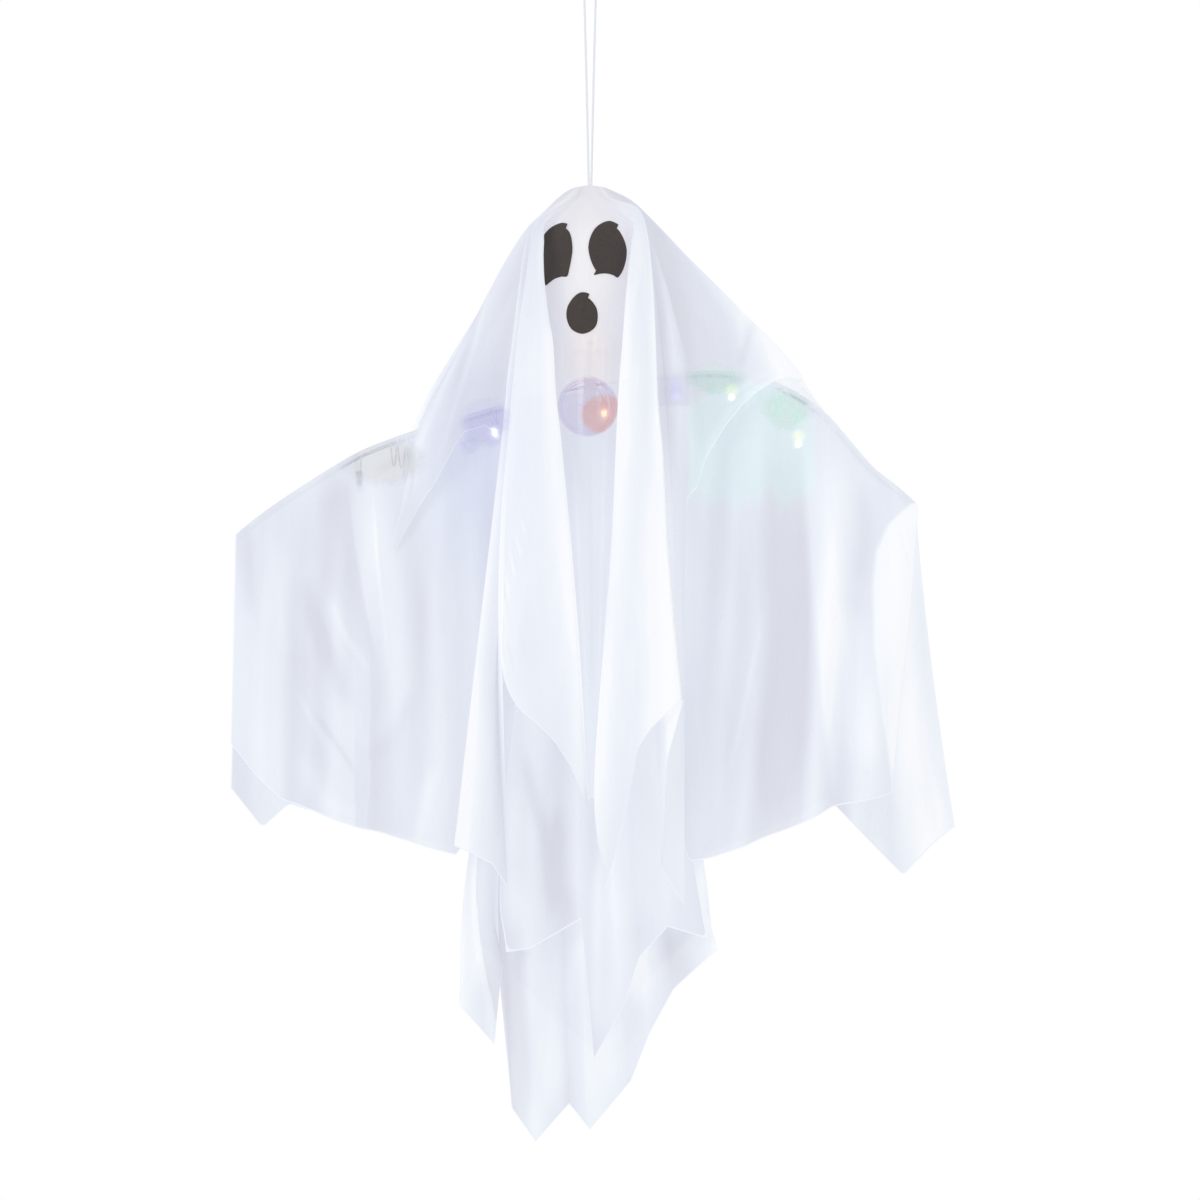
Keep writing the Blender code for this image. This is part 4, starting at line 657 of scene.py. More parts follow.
leads = {
    "lead_neck_to_shoulder": np.vstack([
        down_to(neck, 1, 0.007)[::-1][:2],
        [
            (0.0135, -0.0095, neck[2] + 0.0085), (0.006, -0.0088, below(0.1955)),
            (-0.006, -0.0088, below(0.1945))
        ],
        [(-0.015, -0.006, below(0.1945))],
        wound(-0.026, -0.082, ((-0.046, 2),)),
        down_to(shoulder, 1, 0.010),
    ]),
    "lead_shoulder_to_wrist": np.vstack([
        down_to(shoulder, -1, 0.010)[::-1],
        wound(-0.102, -0.210, ((-0.116, 2), (-0.166, 3))),
        down_to(wrist, 1, 0.016),
    ]),
    "lead_case_to_lamp": [
        (case_lamp[0] - 0.0085, -CASE_DEPTH / 2 - GAP, outlet),
        (case_lamp[0] - 0.0085, -CASE_DEPTH / 2 - 0.0025, outlet),
        (case_lamp[0] - 0.0078, case_lamp[1], outlet + 0.005),
        (case_lamp[0] - 0.0045, case_lamp[1], case_lamp[2] + 0.0034),
        (case_lamp[0] - PAIR, case_lamp[1], case_lamp[2] + 0.0022),
        (case_lamp[0] - PAIR, case_lamp[1], case_lamp[2] + GAP),
    ],
    "lead_case_to_shoulder": np.vstack([
        [
            (case_lamp[0] + PAIR, case_lamp[1], case_lamp[2] + GAP),
            (case_lamp[0] + PAIR, case_lamp[1], case_lamp[2] + 0.002)
        ],
        [(case_lamp[0] + 0.008, case_lamp[1] + 0.003, case_lamp[2] + 0.0035), (0.099, -0.0055, below(0.186))],
        wound(0.106, 0.127, ((0.1105, 1),)),
        down_to(right, -1, 0.012),
    ]),
    "lead_shoulder_to_elbow": np.vstack([
        down_to(right, 1, 0.012)[::-1],
        wound(0.142, 0.190, ((0.1445, 2), (0.1755, 1))),
        down_to(elbow, -1, 0.022),
    ]),
    "lead_elbow_tail": np.vstack([down_to(elbow, 1, 0.022)[::-1], wound(0.209, 0.236, ((0.2130, 2),))]),
    "lead_case_to_head": [
        (CASE_X - CASE_LENGTH / 2 - GAP, 0.003, outlet),
        (CASE_X - CASE_LENGTH / 2 - 0.004, 0.003, outlet + 0.001),
        (0.0115, 0.0045, outlet + 0.012),
        (0.0105, 0.0029, under_flange - 0.008),
        (0.0105, 0.0019, under_flange + 0.001),
        (0.0105, 0.0019, lamp_foot - 0.003),
        (0.0105, 0.0019, lamp_foot),
    ],
    "lead_hank": np.vstack([
        [
            (0.0105, -0.0019, lamp_foot), (0.0105, -0.0019, lamp_foot - 0.003),
            (0.0105, -0.0019, under_flange - 0.0015)
        ],
        [(0.0110, -0.0049, under_flange - 0.006), (0.0125, -0.011, under_flange - 0.011)],
        coil[2:-2],
        [(coil[-2][0] + 0.011, coil[-1][1] - 0.001, coil[-1][2] + 0.001)],
        down_to(neck, -1, 0.007)[1:],
    ]),
}
lead_material, tree, shader = material("clear_lead", (0.80, 0.82, 0.86), 0.18)
shader.inputs["Coat Weight"].default_value = 0.4
shader.inputs["Alpha"].default_value = 0.9
bare = ramp(tree, banded(tree, 420.0, 2.0, "DIAGONAL"), (0.62, 0.65, 0.70), (0.88, 0.90, 0.93))
# The leads take the lamps' painted light twice over in their colour, and glow with three tenths of it and
# with the lenses' painted glow.
near = tinted(tree)
deep = vectors(tree, "MULTIPLY", near["Tint"], near["Tint"])
tree.links.new(vectors(tree, "MULTIPLY", bare.outputs["Color"], deep), shader.inputs["Base Color"])
glows(tree, shader, vectors(tree, "ADD", vectors(tree, "SCALE", deep, 0.30), near["Light"]))
for name, route in leads.items():
    length = np.linalg.norm(np.diff(np.asarray(route), axis=0), axis=1).sum()
    sleeve = tube(f"{name}_sleeve", through(route, max(24, int(length / 0.0016))), LEAD_D / 2, 4)
    sleeve.data.materials.append(lead_material)
    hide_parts(name)
    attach(sleeve, "figure")

# Hard parts. They keep their solids and get finishes: moulded white plastic, zinc-plated steel, nickel-plated
# contacts, the cells' printed sleeves and the slider's dark plastic.
finishes = {
    "white_moulding": (
        (0.84, 0.85, 0.84), 0.42, 0.0, 700.0, 0.00025, ("neck_plug", "battery_case", "battery_cover")
    ),
    "tie_plastic": (
        (0.82, 0.83, 0.84), 0.5, 0.0, 900.0, 0.0002,
        ("case_tie_left", "case_tie_right", "hank_tie", "drape_tie")
    ),
    "zinc_screw": (
        (0.55, 0.56, 0.58), 0.3, 1.0, 1500.0, 0.00008,
        ("neck_screw_front", "neck_screw_back", "wire_lock_screw")
    ),
    "nickel_contact": (
        (0.75, 0.72, 0.64), 0.25, 1.0, 1200.0, 0.00008,
        ("spring_upper", "spring_lower", "cell_bridge", "contact_tab_upper", "contact_tab_lower")
    ),
    "cell_sleeve": ((0.16, 0.18, 0.21), 0.35, 0.2, 500.0, 0.0001, ("cell_upper", "cell_lower")),
    "dark_slider": ((0.05, 0.05, 0.055), 0.5, 0.0, 1400.0, 0.00015, ("switch_slider",)),
}
for name, (colour, roughness, metallic, scale, depth, held) in finishes.items():
    finish, tree, shader = material(name, colour, roughness, metallic)
    speckle = noise(tree, object_place(tree), scale, 3.0)
    bumps(tree, shader, speckle, 0.4, depth)
    wear = ranged(tree, speckle, (0.0, 1.0), (roughness * 0.8, roughness * 1.25))
    tree.links.new(wear, shader.inputs["Roughness"])
    for held_node in held:
        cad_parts[held_node].data.materials.clear()
        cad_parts[held_node].data.materials.append(finish)

# Sheer cloth. All four sheets are cut from one fine plain weave of smooth thread. It lets some of what lies
# behind it show, and its edges are rolled to a narrow brighter hem.
OWN_LIGHT = (0.54, 0.545, 0.56)  # stands in for the light that passes through the threads
WEAVE_REPEAT = 0.0011  # one thread over and one thread under
weave, group_in, group_out = node_group(
    "sheer_weave_and_fold_shade",
    {"Vector": "Vector", "Edge": "Float", "Ridge": "Float"},
    {"Color": "Color", "Cover": "Float", "Normal": "Vector"},
)
threads = vectors(weave, "SINE", vectors(weave, "SCALE", group_in["Vector"], 2 * math.pi / WEAVE_REPEAT))
threads = node(weave, "ShaderNodeSeparateXYZ", {0: threads}).outputs
crossed = numbers(weave, "MULTIPLY", threads["X"], threads["Z"])
slack = noise(weave, stretched(weave, group_in["Vector"], (26.0, 26.0, 5.0)), 1.0, 4.0, Roughness=0.55)
hem = ranged(weave, group_in["Edge"], (0.0008, 0.0018), (1.0, 0.0), smooth=True)
# The colour is painted shade and highlight of the folds: lavender grey in the hollows to white on the ridges,
# by the sheet's ridge value and streaks of noise.
streaked = numbers(weave, "MULTIPLY_ADD", numbers(weave, "SUBTRACT", slack, 0.5), 1.6, group_in["Ridge"])
fold_shade_ramp = ramp(weave, ranged(weave, streaked, (-1.0, 1.5)), (0.745, 0.752, 0.808), (1.03, 1.03, 1.03))
fold_shade_ramp.color_ramp.elements.new(0.4).color = (0.838, 0.858, 0.923, 1)
fold_shade_ramp.color_ramp.elements.new(0.8).color = (0.940, 0.970, 1.0, 1)
weave.links.new(mixed(weave, hem, fold_shade_ramp.outputs["Color"], (0.95, 0.97, 1.0, 1)), group_out["Color"])
cover = ranged(weave, crossed, (-1.0, 1.0), (0.87, 0.94))
cover = node(weave, "ShaderNodeMix", {"Factor": hem, "A": cover, "B": 0.96}, data_type="FLOAT")
weave.links.new(cover.outputs["Result"], group_out["Cover"])
soft = node(weave, "ShaderNodeBump", {"Height": slack, "Strength": 0.4, "Distance": 0.010}).outputs["Normal"]
fine = {"Height": crossed, "Strength": 0.15, "Distance": 0.0001, "Normal": soft}
fine = node(weave, "ShaderNodeBump", fine)
weave.links.new(fine.outputs["Normal"], group_out["Normal"])


def sheer(name):
    """The cloth's material: weave, fold shade and hem from one group, and the lamps' painted light from the
    other.
    """
    made, tree, shader = material(name, (0.9, 0.92, 0.96), 0.75)
    woven = node(tree, "ShaderNodeGroup", {"Vector": object_place(tree)}, node_tree=weave)
    for socket in ("Edge", "Ridge"):
        own = node(tree, "ShaderNodeAttribute", attribute_name=socket.lower())
        tree.links.new(own.outputs["Fac"], woven.inputs[socket])
    near = tinted(tree)
    painted_light_and_shade = vectors(tree, "MULTIPLY", woven.outputs["Color"], near["Tint"])
    tree.links.new(vectors(tree, "SCALE", painted_light_and_shade, 0.42), shader.inputs["Base Color"])
    # The cloth's own light is painted too: its painted colour times the cloth's own light, with the lenses'
    # painted glow.
    glows(tree, shader, vectors(tree, "MULTIPLY_ADD", painted_light_and_shade, OWN_LIGHT, near["Light"]))
    thin = ranged(tree, near["Show"], (0.0, 1.0), (1.0, 0.50))
    tree.links.new(numbers(tree, "MULTIPLY", woven.outputs["Cover"], thin), shader.inputs["Alpha"])
    tree.links.new(woven.outputs["Normal"], shader.inputs["Normal"])
    shader.inputs["Specular IOR Level"].default_value = 0.15
    return made


def relief(grid, reach, round_=False):
    """How far each point of a grid stands out from the smoothed sheet round it, in mm, away from the neck.

    The smoothed sheet is three running means along the columns, each over twice the reach and one more.
    """
    soft = grid
    for _ in range(3):
        if round_:
            padded = np.concatenate([soft[-reach:], soft, soft[:reach]])
        else:
            padded = np.pad(soft, ((reach, reach), (0, 0), (0, 0)), "edge")
        total = np.cumsum(np.concatenate([np.zeros((1, *padded.shape[1:])), padded]), axis=0)
        soft = (total[2 * reach + 1 :] - total[: -2 * reach - 1]) / (2 * reach + 1)
    out = np.cross(np.gradient(soft, axis=0), np.gradient(soft, axis=1))
    out /= np.maximum(np.linalg.norm(out, axis=2, keepdims=True), 1e-12)
    way = np.sign((out[..., :2] * soft[..., :2]).sum(axis=2))
    return (((grid - soft) * out).sum(axis=2) * way) / MM


def stroke(grid, places, wide, sharp=0):
    """1 on a line of photograph pixels, fading to 0 beside it and at its ends, at every point of a grid.

    It is e to the power of -1.4 times the square of the distance over half the width, with tapered ends.
    One side is sharp where it is told to be: 1 for the left side on the way down the line, -1 for the right.
    """
    line = np.array([at(*place) for place in places])
    x, z = grid[..., 0], grid[..., 2]
    best, run, side = (np.full(x.shape, value) for value in (1e9, 0.0, 1.0))
    lengths = run_along(line)
    for i, ((ax, az), (bx, bz)) in enumerate(zip(line[:-1], line[1:])):
        dx, dz = bx - ax, bz - az
        t = np.clip(((x - ax) * dx + (z - az) * dz) / (dx * dx + dz * dz), 0, 1)
        away = np.hypot(x - ax - t * dx, z - az - t * dz)
        nearer = away < best
        best = np.where(nearer, away, best)
        run = np.where(nearer, (lengths[i] + t * (lengths[i + 1] - lengths[i])) / lengths[-1], run)
        side = np.where(nearer, np.sign(dx * (z - az) - dz * (x - ax)), side)
    width = wide * MM / 2 * np.where(side * sharp < 0, 0.12, 1.0)
    taper = np.sin(np.clip(np.minimum(run, 1 - run) / 0.3, 0, 1) * math.pi / 2)
    return np.exp(-((best / width) ** 2) * 1.4) * taper


def cloth(name, grid, ridge, round_=False, ends=(False, True), leave_out=None):
    """A smooth sheet from a grid of points, columns by rows.

    Each point keeps its distance to the nearest hem, the shortest of the runs along its own row and column.
    """
    columns, rows = grid.shape[:2]
    step = np.linalg.norm(np.diff(grid, axis=1), axis=2)
    run = np.concatenate([np.zeros((columns, 1)), np.cumsum(step, axis=1)], axis=1)
    edge = np.full((columns, rows), 1.0)
    if ends[1]:
        edge = np.minimum(edge, run[:, -1:] - run)
    if ends[0]:
        edge = np.minimum(edge, run)
    if not round_:
        side = np.linalg.norm(np.diff(grid, axis=0), axis=2)
        left = np.concatenate([np.zeros((1, rows)), np.cumsum(side, axis=0)], axis=0)
        edge = np.minimum(edge, np.minimum(left, left[-1:] - left))
    faces = quads(columns, rows, round_)
    if leave_out is not None:
        faces = faces[~leave_out(grid)[: columns if round_ else columns - 1, : rows - 1].ravel()]
    mesh = bpy.data.meshes.new(name)
    mesh.vertices.add(columns * rows)
    mesh.vertices.foreach_set("co", grid.reshape(-1).astype(np.float32))
    mesh.loops.add(faces.size)
    mesh.loops.foreach_set("vertex_index", faces.reshape(-1).astype(np.int32))
    mesh.polygons.add(len(faces))
    mesh.polygons.foreach_set("loop_start", np.arange(0, faces.size, 4, dtype=np.int32))
    mesh.update(calc_edges=True)
    # The ridge values are the painted shading of the folds: below 0 painted shade, above 0 painted highlight.
    for attribute, values in (("edge", edge), ("ridge", np.clip(ridge, -1, 1.5))):
        layer = mesh.attributes.new(attribute, "FLOAT", "POINT")
        layer.data.foreach_set("value", values.reshape(-1).astype(np.float32))
    mesh.polygons.foreach_set("use_smooth", np.ones(len(faces), bool))
    work = bmesh.new()
    work.from_mesh(mesh)
    loose = [v for v in work.verts if not v.link_faces]
    bmesh.ops.delete(work, geom=loose, context="VERTS")
    work.to_mesh(mesh)
    work.free()
    return stand(name, mesh)


def area_of(grid):
    """Area of a grid of points: the sum of the lengths of its cells' cross products."""
    a = grid[1:, :-1] - grid[:-1, :-1]
    b = grid[:-1, 1:] - grid[:-1, :-1]
    return float(np.linalg.norm(np.cross(a, b), axis=2).sum())


# Body cloth. One sheet lies over both arms, slit for the neck, and falls in soft folds. It is open in front
# between the two strips of the veil, and has a corner tail at the back of each wrist.
CLOTH_T = 0.0012
FRONT_HEM = (  # the front is open from the middle to the two strips of the veil
    (-343, 534), (-325, 556), (-292, 587), (-220, 613), (-124, 639), (-104, 560), (-88, 462), (66, 462),
    (79, 560), (92, 645), (112, 642), (189, 614), (230, 594), (287, 582),
)
BACK_HEM = (
    (-347, 578), (-319, 619), (-292, 595), (-220, 617), (-117, 643), (0, 654), (112, 645), (196, 612),
    (230, 589), (304, 665), (353, 616)
)
RIDGE_RISE = LEAD_RUN + LEAD_D / 2 + CLOTH_T / 2 + 0.0008


def sleeve_radius(x):
    """Radius in which the cloth turns over the arm: 9 mm at the wrist and up to 21 mm nearer to the neck."""
    x = np.asarray(x, float)
    reach = np.where(x < 0, -x / 0.338, x / 0.312)
    return 0.009 + 0.012 * np.clip((1 - reach) / 0.22, 0, 1) ** 0.6


def fold_wave(x):
    """The folds' wave, from -1 to 1: a cosine 74 mm long whose phase swings slowly over 310 mm."""
    return np.cos(2 * math.pi * x / 0.074 + 1.3 * np.sin(2 * math.pi * x / 0.31 + 0.6))


def body_half_depth(x, drop):
    """Half the distance between the front and back cloth at a drop below the ridge.

    It is a quarter circle over the arm, then a straight flare of 7 in 100 with the folds' wave growing on it.
    """
    radius = sleeve_radius(x)
    drop = np.maximum(np.asarray(drop, float), 0)
    arch = np.sqrt(np.maximum(radius**2 - np.maximum(radius - drop, 0) ** 2, 0))
    past = np.maximum(drop - radius, 0)
    return arch + 0.07 * past + 0.009 * (1 - np.exp(-past / 0.12)) * fold_wave(x)


def hem_at(x, table):
    """Drop of a hem's broken line at x: the mean over 7 mm round it, which rounds off the corners."""
    places, values = np.array(table, float).T
    return np.mean([np.interp(x + shift, places, values) for shift in np.linspace(-3.5, 3.5, 9)], axis=0)


columns = 420
u = np.linspace(0, 1, columns)
ridge_x = -0.340 + u * 0.654
ridge_z = above_wire(ridge_x, RIDGE_RISE)
sides = []
for hem, low_x, high_x, side in ((FRONT_HEM, -0.343, 0.287, -1), (BACK_HEM, -0.347, 0.353, 1)):
    hem_x = low_x + u * (high_x - low_x)
    hem_drop = ridge_z - below(hem_at(hem_x / MM, hem) * MM)
    radius = sleeve_radius(ridge_x)
    drops = [radius * (1 - math.cos(a)) for a in np.linspace(0, math.pi / 2, 14)]
    drops += [radius + (hem_drop - radius) * share for share in np.linspace(0, 1, 96)[1:]]
    rows = []
    for drop in drops:
        x = ridge_x + (hem_x - ridge_x) * (drop / hem_drop) ** 1.3
        slack = np.clip((drop - radius) / 0.10, 0, 1)
        ripple = 0.0016 * np.sin(2 * math.pi * ridge_x / 0.029 + 3 * np.sin(ridge_x * 17 + side))
        drawn = ridge_x + 0.12 * drop * np.sin(ridge_x * 9)
        small = ripple + 0.0022 * np.sin(2 * math.pi * drawn / 0.047 + 1.7 * side)
        y = side * (body_half_depth(ridge_x, drop) + slack * small)
        rows.append(np.column_stack([x, y, ridge_z - drop]))
    sides.append(np.array(rows))
body = np.concatenate([sides[0][::-1], sides[1][1:]]).transpose(1, 0, 2)
ridge_row = len(sides[0]) - 1
FOLDS = (  # pixels of the photograph's frame, width and height in mm, sharp side
    (((346, 470), (333, 511), (330, 555), (336, 610)), 34, -3.8, 0),
    (((348, 480), (355, 545), (364, 600), (380, 672)), 34, -3.5, -1),
    (((332, 596), (350, 638), (374, 672)), 7, 2.5, 0),
    (((308, 575), (318, 622), (336, 662), (352, 712)), 24, -5, 0),
    (((322, 600), (326, 690), (330, 800)), 30, -2.5, 0),
    (((438, 520), (440, 620), (436, 740)), 30, -1.8, 0),
    (((684, 400), (686, 560), (690, 700)), 40, 2.0, 0),
    (((375, 470), (382, 560), (392, 620), (402, 690), (392, 750)), 40, 4.5, 0),
    (((374, 476), (379, 554), (386, 617), (390, 665)), 4, 3, 0),
    (((412, 560), (426, 617), (422, 687), (396, 737), (358, 768)), 20, -1.8, 0),
    (((294, 540), (299, 600), (304, 660)), 40, 1.6, 0),
    (((236, 560), (246, 660), (248, 800)), 36, 4, 0),
    (((246, 520), (254, 620)), 16, -2.5, 0),
    (((318, 712), (345, 748), (362, 776)), 6, -3.5, 0),
    (((298, 690), (334, 752)), 6, 2, 0),
    (((357, 446), (363, 494)), 6, -6, 0),
    (((376, 474), (414, 452)), 10, -5, 0),
    (((436, 760), (418, 850)), 17, 3, 0),
    (((300, 750), (330, 800), (372, 822)), 24, 2, 0),
    (((800, 450), (802, 600), (801, 700), (792, 850)), 150, -4, -1),
    (((778, 520), (776, 680), (764, 820)), 34, -2, 0),
    (((803, 400), (809, 520), (816, 620), (826, 720), (838, 830)), 110, 5, 1),
    (((861, 480), (862, 540), (855, 590)), 22, -2.2, 0),
    (((842, 600), (852, 680), (860, 770)), 40, 4, 0),
    (((764, 604), (726, 778)), 8, 2, 0),
    (((825, 415), (906, 502)), 6, 2, 0),
    (((896, 520), (909, 570)), 4, -3, 0),
)
front = body[..., 1] < 0
# The sheet's relief and the folds' heights are painted on: painted shade in the hollows and painted highlight
# on the ridges. Each fold also moves the front by 0.6 of its height.
body_painted_shading = relief(body, 12) / 14
for places, wide, high, sharp in FOLDS:
    lie = stroke(body, places, wide, sharp) * front
    body[..., 1] -= lie * high * 0.6 * MM
    body_painted_shading += lie * high / 5
# Right of this line of the photograph's pixels the front of the sheet is painted lighter.
LIGHTER_EDGE = ((908, 503), (884, 525), (872, 551), (868, 585), (870, 648), (878, 715), (889, 791))
lighter_edge = np.array([at(*place) for place in LIGHTER_EDGE])[::-1]
inside = (body[..., 0] - np.interp(body[..., 2], lighter_edge[:, 1], lighter_edge[:, 0])) / 0.005
body_painted_shading += 1.5 * np.clip(inside, 0, 1) * (body[..., 2] < lighter_edge[-1, 1]) * front
# The back of the sheet is painted lighter from 270 mm across to the right.
body_painted_shading += 1.15 * np.clip((body[..., 0] - 0.27) / 0.03, 0, 1) * ~front


def neck_slit(grid):
    """The faces that the slit for the neck leaves out."""
    slit = np.zeros(grid.shape[:2], bool)
    wide = np.abs(grid[:, ridge_row, 0] + 0.004) < 0.040
    slit[wide, ridge_row - 8 : ridge_row + 8] = True
    return slit


body_sheet = cloth("body_sheet", body, body_painted_shading, ends=(True, True), leave_out=neck_slit)
body_sheet.data.materials.append(sheer("sheer_body"))
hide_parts("body_cloth")
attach(body_sheet, "figure")

# Veil. One square of the cloth lies over the head, with a small hole for the cord. It falls in two deep folds
# beside the face, and its corners lie on the arms.
CORD_HOLE_R, CAP_CLEAR, LAYER_GAP = 0.006, 0.0028, 0.0045
VEIL_LINES = (
    (90, (0, 53, 42), (0, 60, 100), (0, 62, 170), (0, 64, 260), (0, 68, 400), (0, 64, 575)),
    (125, (-34, 42, 44), (-52, 48, 90), (-85, 52, 160), (-125, 54, 240), (-140, 58, 330), (-145, 58, 455)),
    (155, (-52, 26, 40), (-85, 30, 90), (-140, 34, 170), (-168, 38, 220), (-182, 40, 270), (-188, 38, 325)),
    (168, (-47, 12, 27), (-84, 13, 76), (-130, 15, 164), (-154, 18, 203), (-164, 21, 229)),
    (180, (-45, 0, 25), (-61, -2, 41), (-82, -4, 74), (-110, -6, 127), (-130, -8, 166), (-148, -14, 200),
     (-163, -20, 228)),
    (187, (-46, -8, 29), (-62, -9, 47), (-83, -12, 80), (-110, -15, 132), (-132, -18, 176), (-152, -24, 214),
     (-166, -29, 250), (-170, -30, 300), (-189, -26, 355)),
    (200, (-58, -18, 48), (-84, -24, 95), (-112, -28, 145), (-136, -32, 195), (-148, -36, 240),
     (-152, -40, 292)),
    (215, (-52, -32, 52), (-72, -40, 110), (-92, -46, 160), (-106, -50, 215), (-116, -54, 268)),
    (225, (-51, -40, 37), (-61, -50, 60), (-67, -58, 100), (-74, -70, 158), (-79, -76, 196), (-85, -82, 262),
     (-109, -84, 460), (-130, -78, 634)),
    (229, (-50, -41, 38), (-58, -48, 66), (-66, -57, 128), (-74, -66, 200), (-80, -72, 262), (-100, -75, 460),
     (-108, -71, 642)),
    (232, (-49, -42, 40), (-57, -49, 80), (-66, -58, 160), (-74, -63, 262), (-88, -66, 460), (-80, -66, 668)),
    (238, (-50, -47, 38), (-57, -56, 70), (-61, -66, 110), (-67, -78, 158), (-73, -88, 220), (-80, -94, 340),
     (-85, -97, 473)),
    (252, (-40, -47, 40), (-43.5, -57, 62), (-43.5, -63, 92), (-39, -70, 132), (-35, -78, 158),
     (-33, -86, 205), (-27, -93, 263), (-16, -99, 397), (-5, -102, 588)),
    (256, (-42, -33, 42), (-46.5, -28, 70), (-46.5, -29, 92), (-43, -36, 132), (-36, -43, 180),
     (-28, -52, 263), (-12, -66, 430), (-5, -86, 572)),
    (263, (-21, -45, 42), (-22, -48, 70), (-22, -48, 92), (-20, -47, 140), (-17, -46, 200), (-13, -50, 300),
     (-7, -63, 430), (-2, -82, 576)),
    (270, (0, -51, 42), (0, -54, 70), (0, -54, 92), (0, -51.5, 140), (0, -47, 200), (0, -50, 300),
     (0, -62, 430), (0, -81, 578)),
    (277, (21, -45, 42), (22, -48, 70), (22, -48, 92), (20, -47, 140), (17, -46, 200), (13, -50, 300),
     (7, -63, 430), (2, -82, 576)),
    (284, (38, -36, 42), (42, -34, 70), (41, -36, 92), (37, -42, 132), (31, -46, 180), (25, -53, 263),
     (12, -67, 430), (5, -86, 572)),
    (289, (39, -44, 40), (38.5, -52, 62), (36, -62, 89), (33, -70, 122), (30, -79, 165), (27, -86, 204),
     (24, -93, 263), (18, -99, 398), (4, -101, 588), (14, -98, 670)),
    (296, (45, -44, 32), (50, -54, 70), (49, -65, 110), (47, -77, 158), (44, -89, 205), (42, -95, 263),
     (42, -101, 398), (44, -104, 538)),
    (305, (46, -36, 25), (55, -43, 52), (60, -55, 100), (62, -65, 140), (65, -75, 212), (70, -83, 263),
     (76, -89, 359), (83, -93, 436), (90, -94, 492)),
    (309, (47, -32, 28), (55, -40, 66), (58, -49, 122), (60, -60, 200), (62, -68, 300), (64, -73, 430),
     (67, -75, 560), (68, -74, 650)),
    (314, (47, -29, 32), (58, -35, 75), (66, -43, 140), (72, -52, 212), (77, -58, 300), (82, -62, 430),
     (86, -64, 560), (88, -65, 690)),
    (322, (51, -26, 36), (66, -32, 80), (84, -38, 140), (100, -46, 210), (111, -52, 275)),
    (338, (56, -16, 36), (84, -22, 80), (112, -26, 124), (132, -32, 168), (146, -38, 212)),
    (355, (41, -4, 13), (61, -4, 33), (92, -2, 66), (125, 0, 98), (157, 0, 130), (179, -4, 152),
     (198, -12, 176), (201, -20, 186)),
    (378, (60, 14, 38), (92, 22, 74), (130, 28, 112), (165, 30, 145), (190, 30, 172), (226, 24, 214)),
    (405, (38, 36, 44), (58, 42, 90), (95, 50, 150), (130, 54, 220), (145, 58, 300), (148, 60, 430)),
)


def outside_body(points):
    """Keeps a sheet a layer's gap outside the body cloth where it hangs below the arms' ridge.

    It takes the larger of the point's own depth and the body cloth's half depth there with the gap.
    """
    x, y, z = points.T
    ridge = above_wire(x, RIDGE_RISE)
    under = np.clip((ridge - z) / 0.004, 0, 1)
    in_reach = (x > -0.345) & (x < 0.33)
    least = (body_half_depth(x, ridge - z) + LAYER_GAP) * under * in_reach
    return np.column_stack([x, np.where(y < 0, -1, 1) * np.maximum(np.abs(y), least), z])


def outside_head(points):
    """Moves points that are too near to the head straight out, to its skin's radius and a gap."""
    x, y, z = points.T
    drop = -CROWN - z
    wanted = (egg_radius(drop) + CAP_CLEAR) * (drop < HEAD_LENGTH)
    have = np.hypot(x, y)
    scale = np.where(have < wanted, wanted / np.maximum(have, 1e-6), 1)
    return np.column_stack([x * scale, y * scale, z])


def along(points, places):
    """Points on a smooth curve at the places given for the longest line, drawn together on a shorter one.

    A place is divided by 1 and its product with the difference of 1 over this length and 1 over the longest.
    """
    fine = through(points, 500)
    run = run_along(fine)
    places = np.asarray(places, float) * MM
    wanted = places / (1 + places * (1 / run[-1] - 1 / places[-1]))
    return np.column_stack([np.interp(wanted, run, fine[:, k]) for k in range(3)])


def loft(lines, extra):
    """Extra lines between the given ones, on a cubic from the four lines round each, with a straight hem."""
    lines = np.array(lines)
    made, ends = [], []
    for i in range(len(lines)):
        a, b, c, d = (lines[(i + k) % len(lines)] for k in (-1, 0, 1, 2))
        for t in np.arange(extra) / extra:
            made.append(between(a, b, c, d, t))
            ends.append(b[-1] + (c[-1] - b[-1]) * t)
    made = np.array(made)
    share = np.linspace(0, 1, made.shape[1])[None, :, None] ** 4
    return made + (np.array(ends)[:, None] - made[:, -1:]) * share


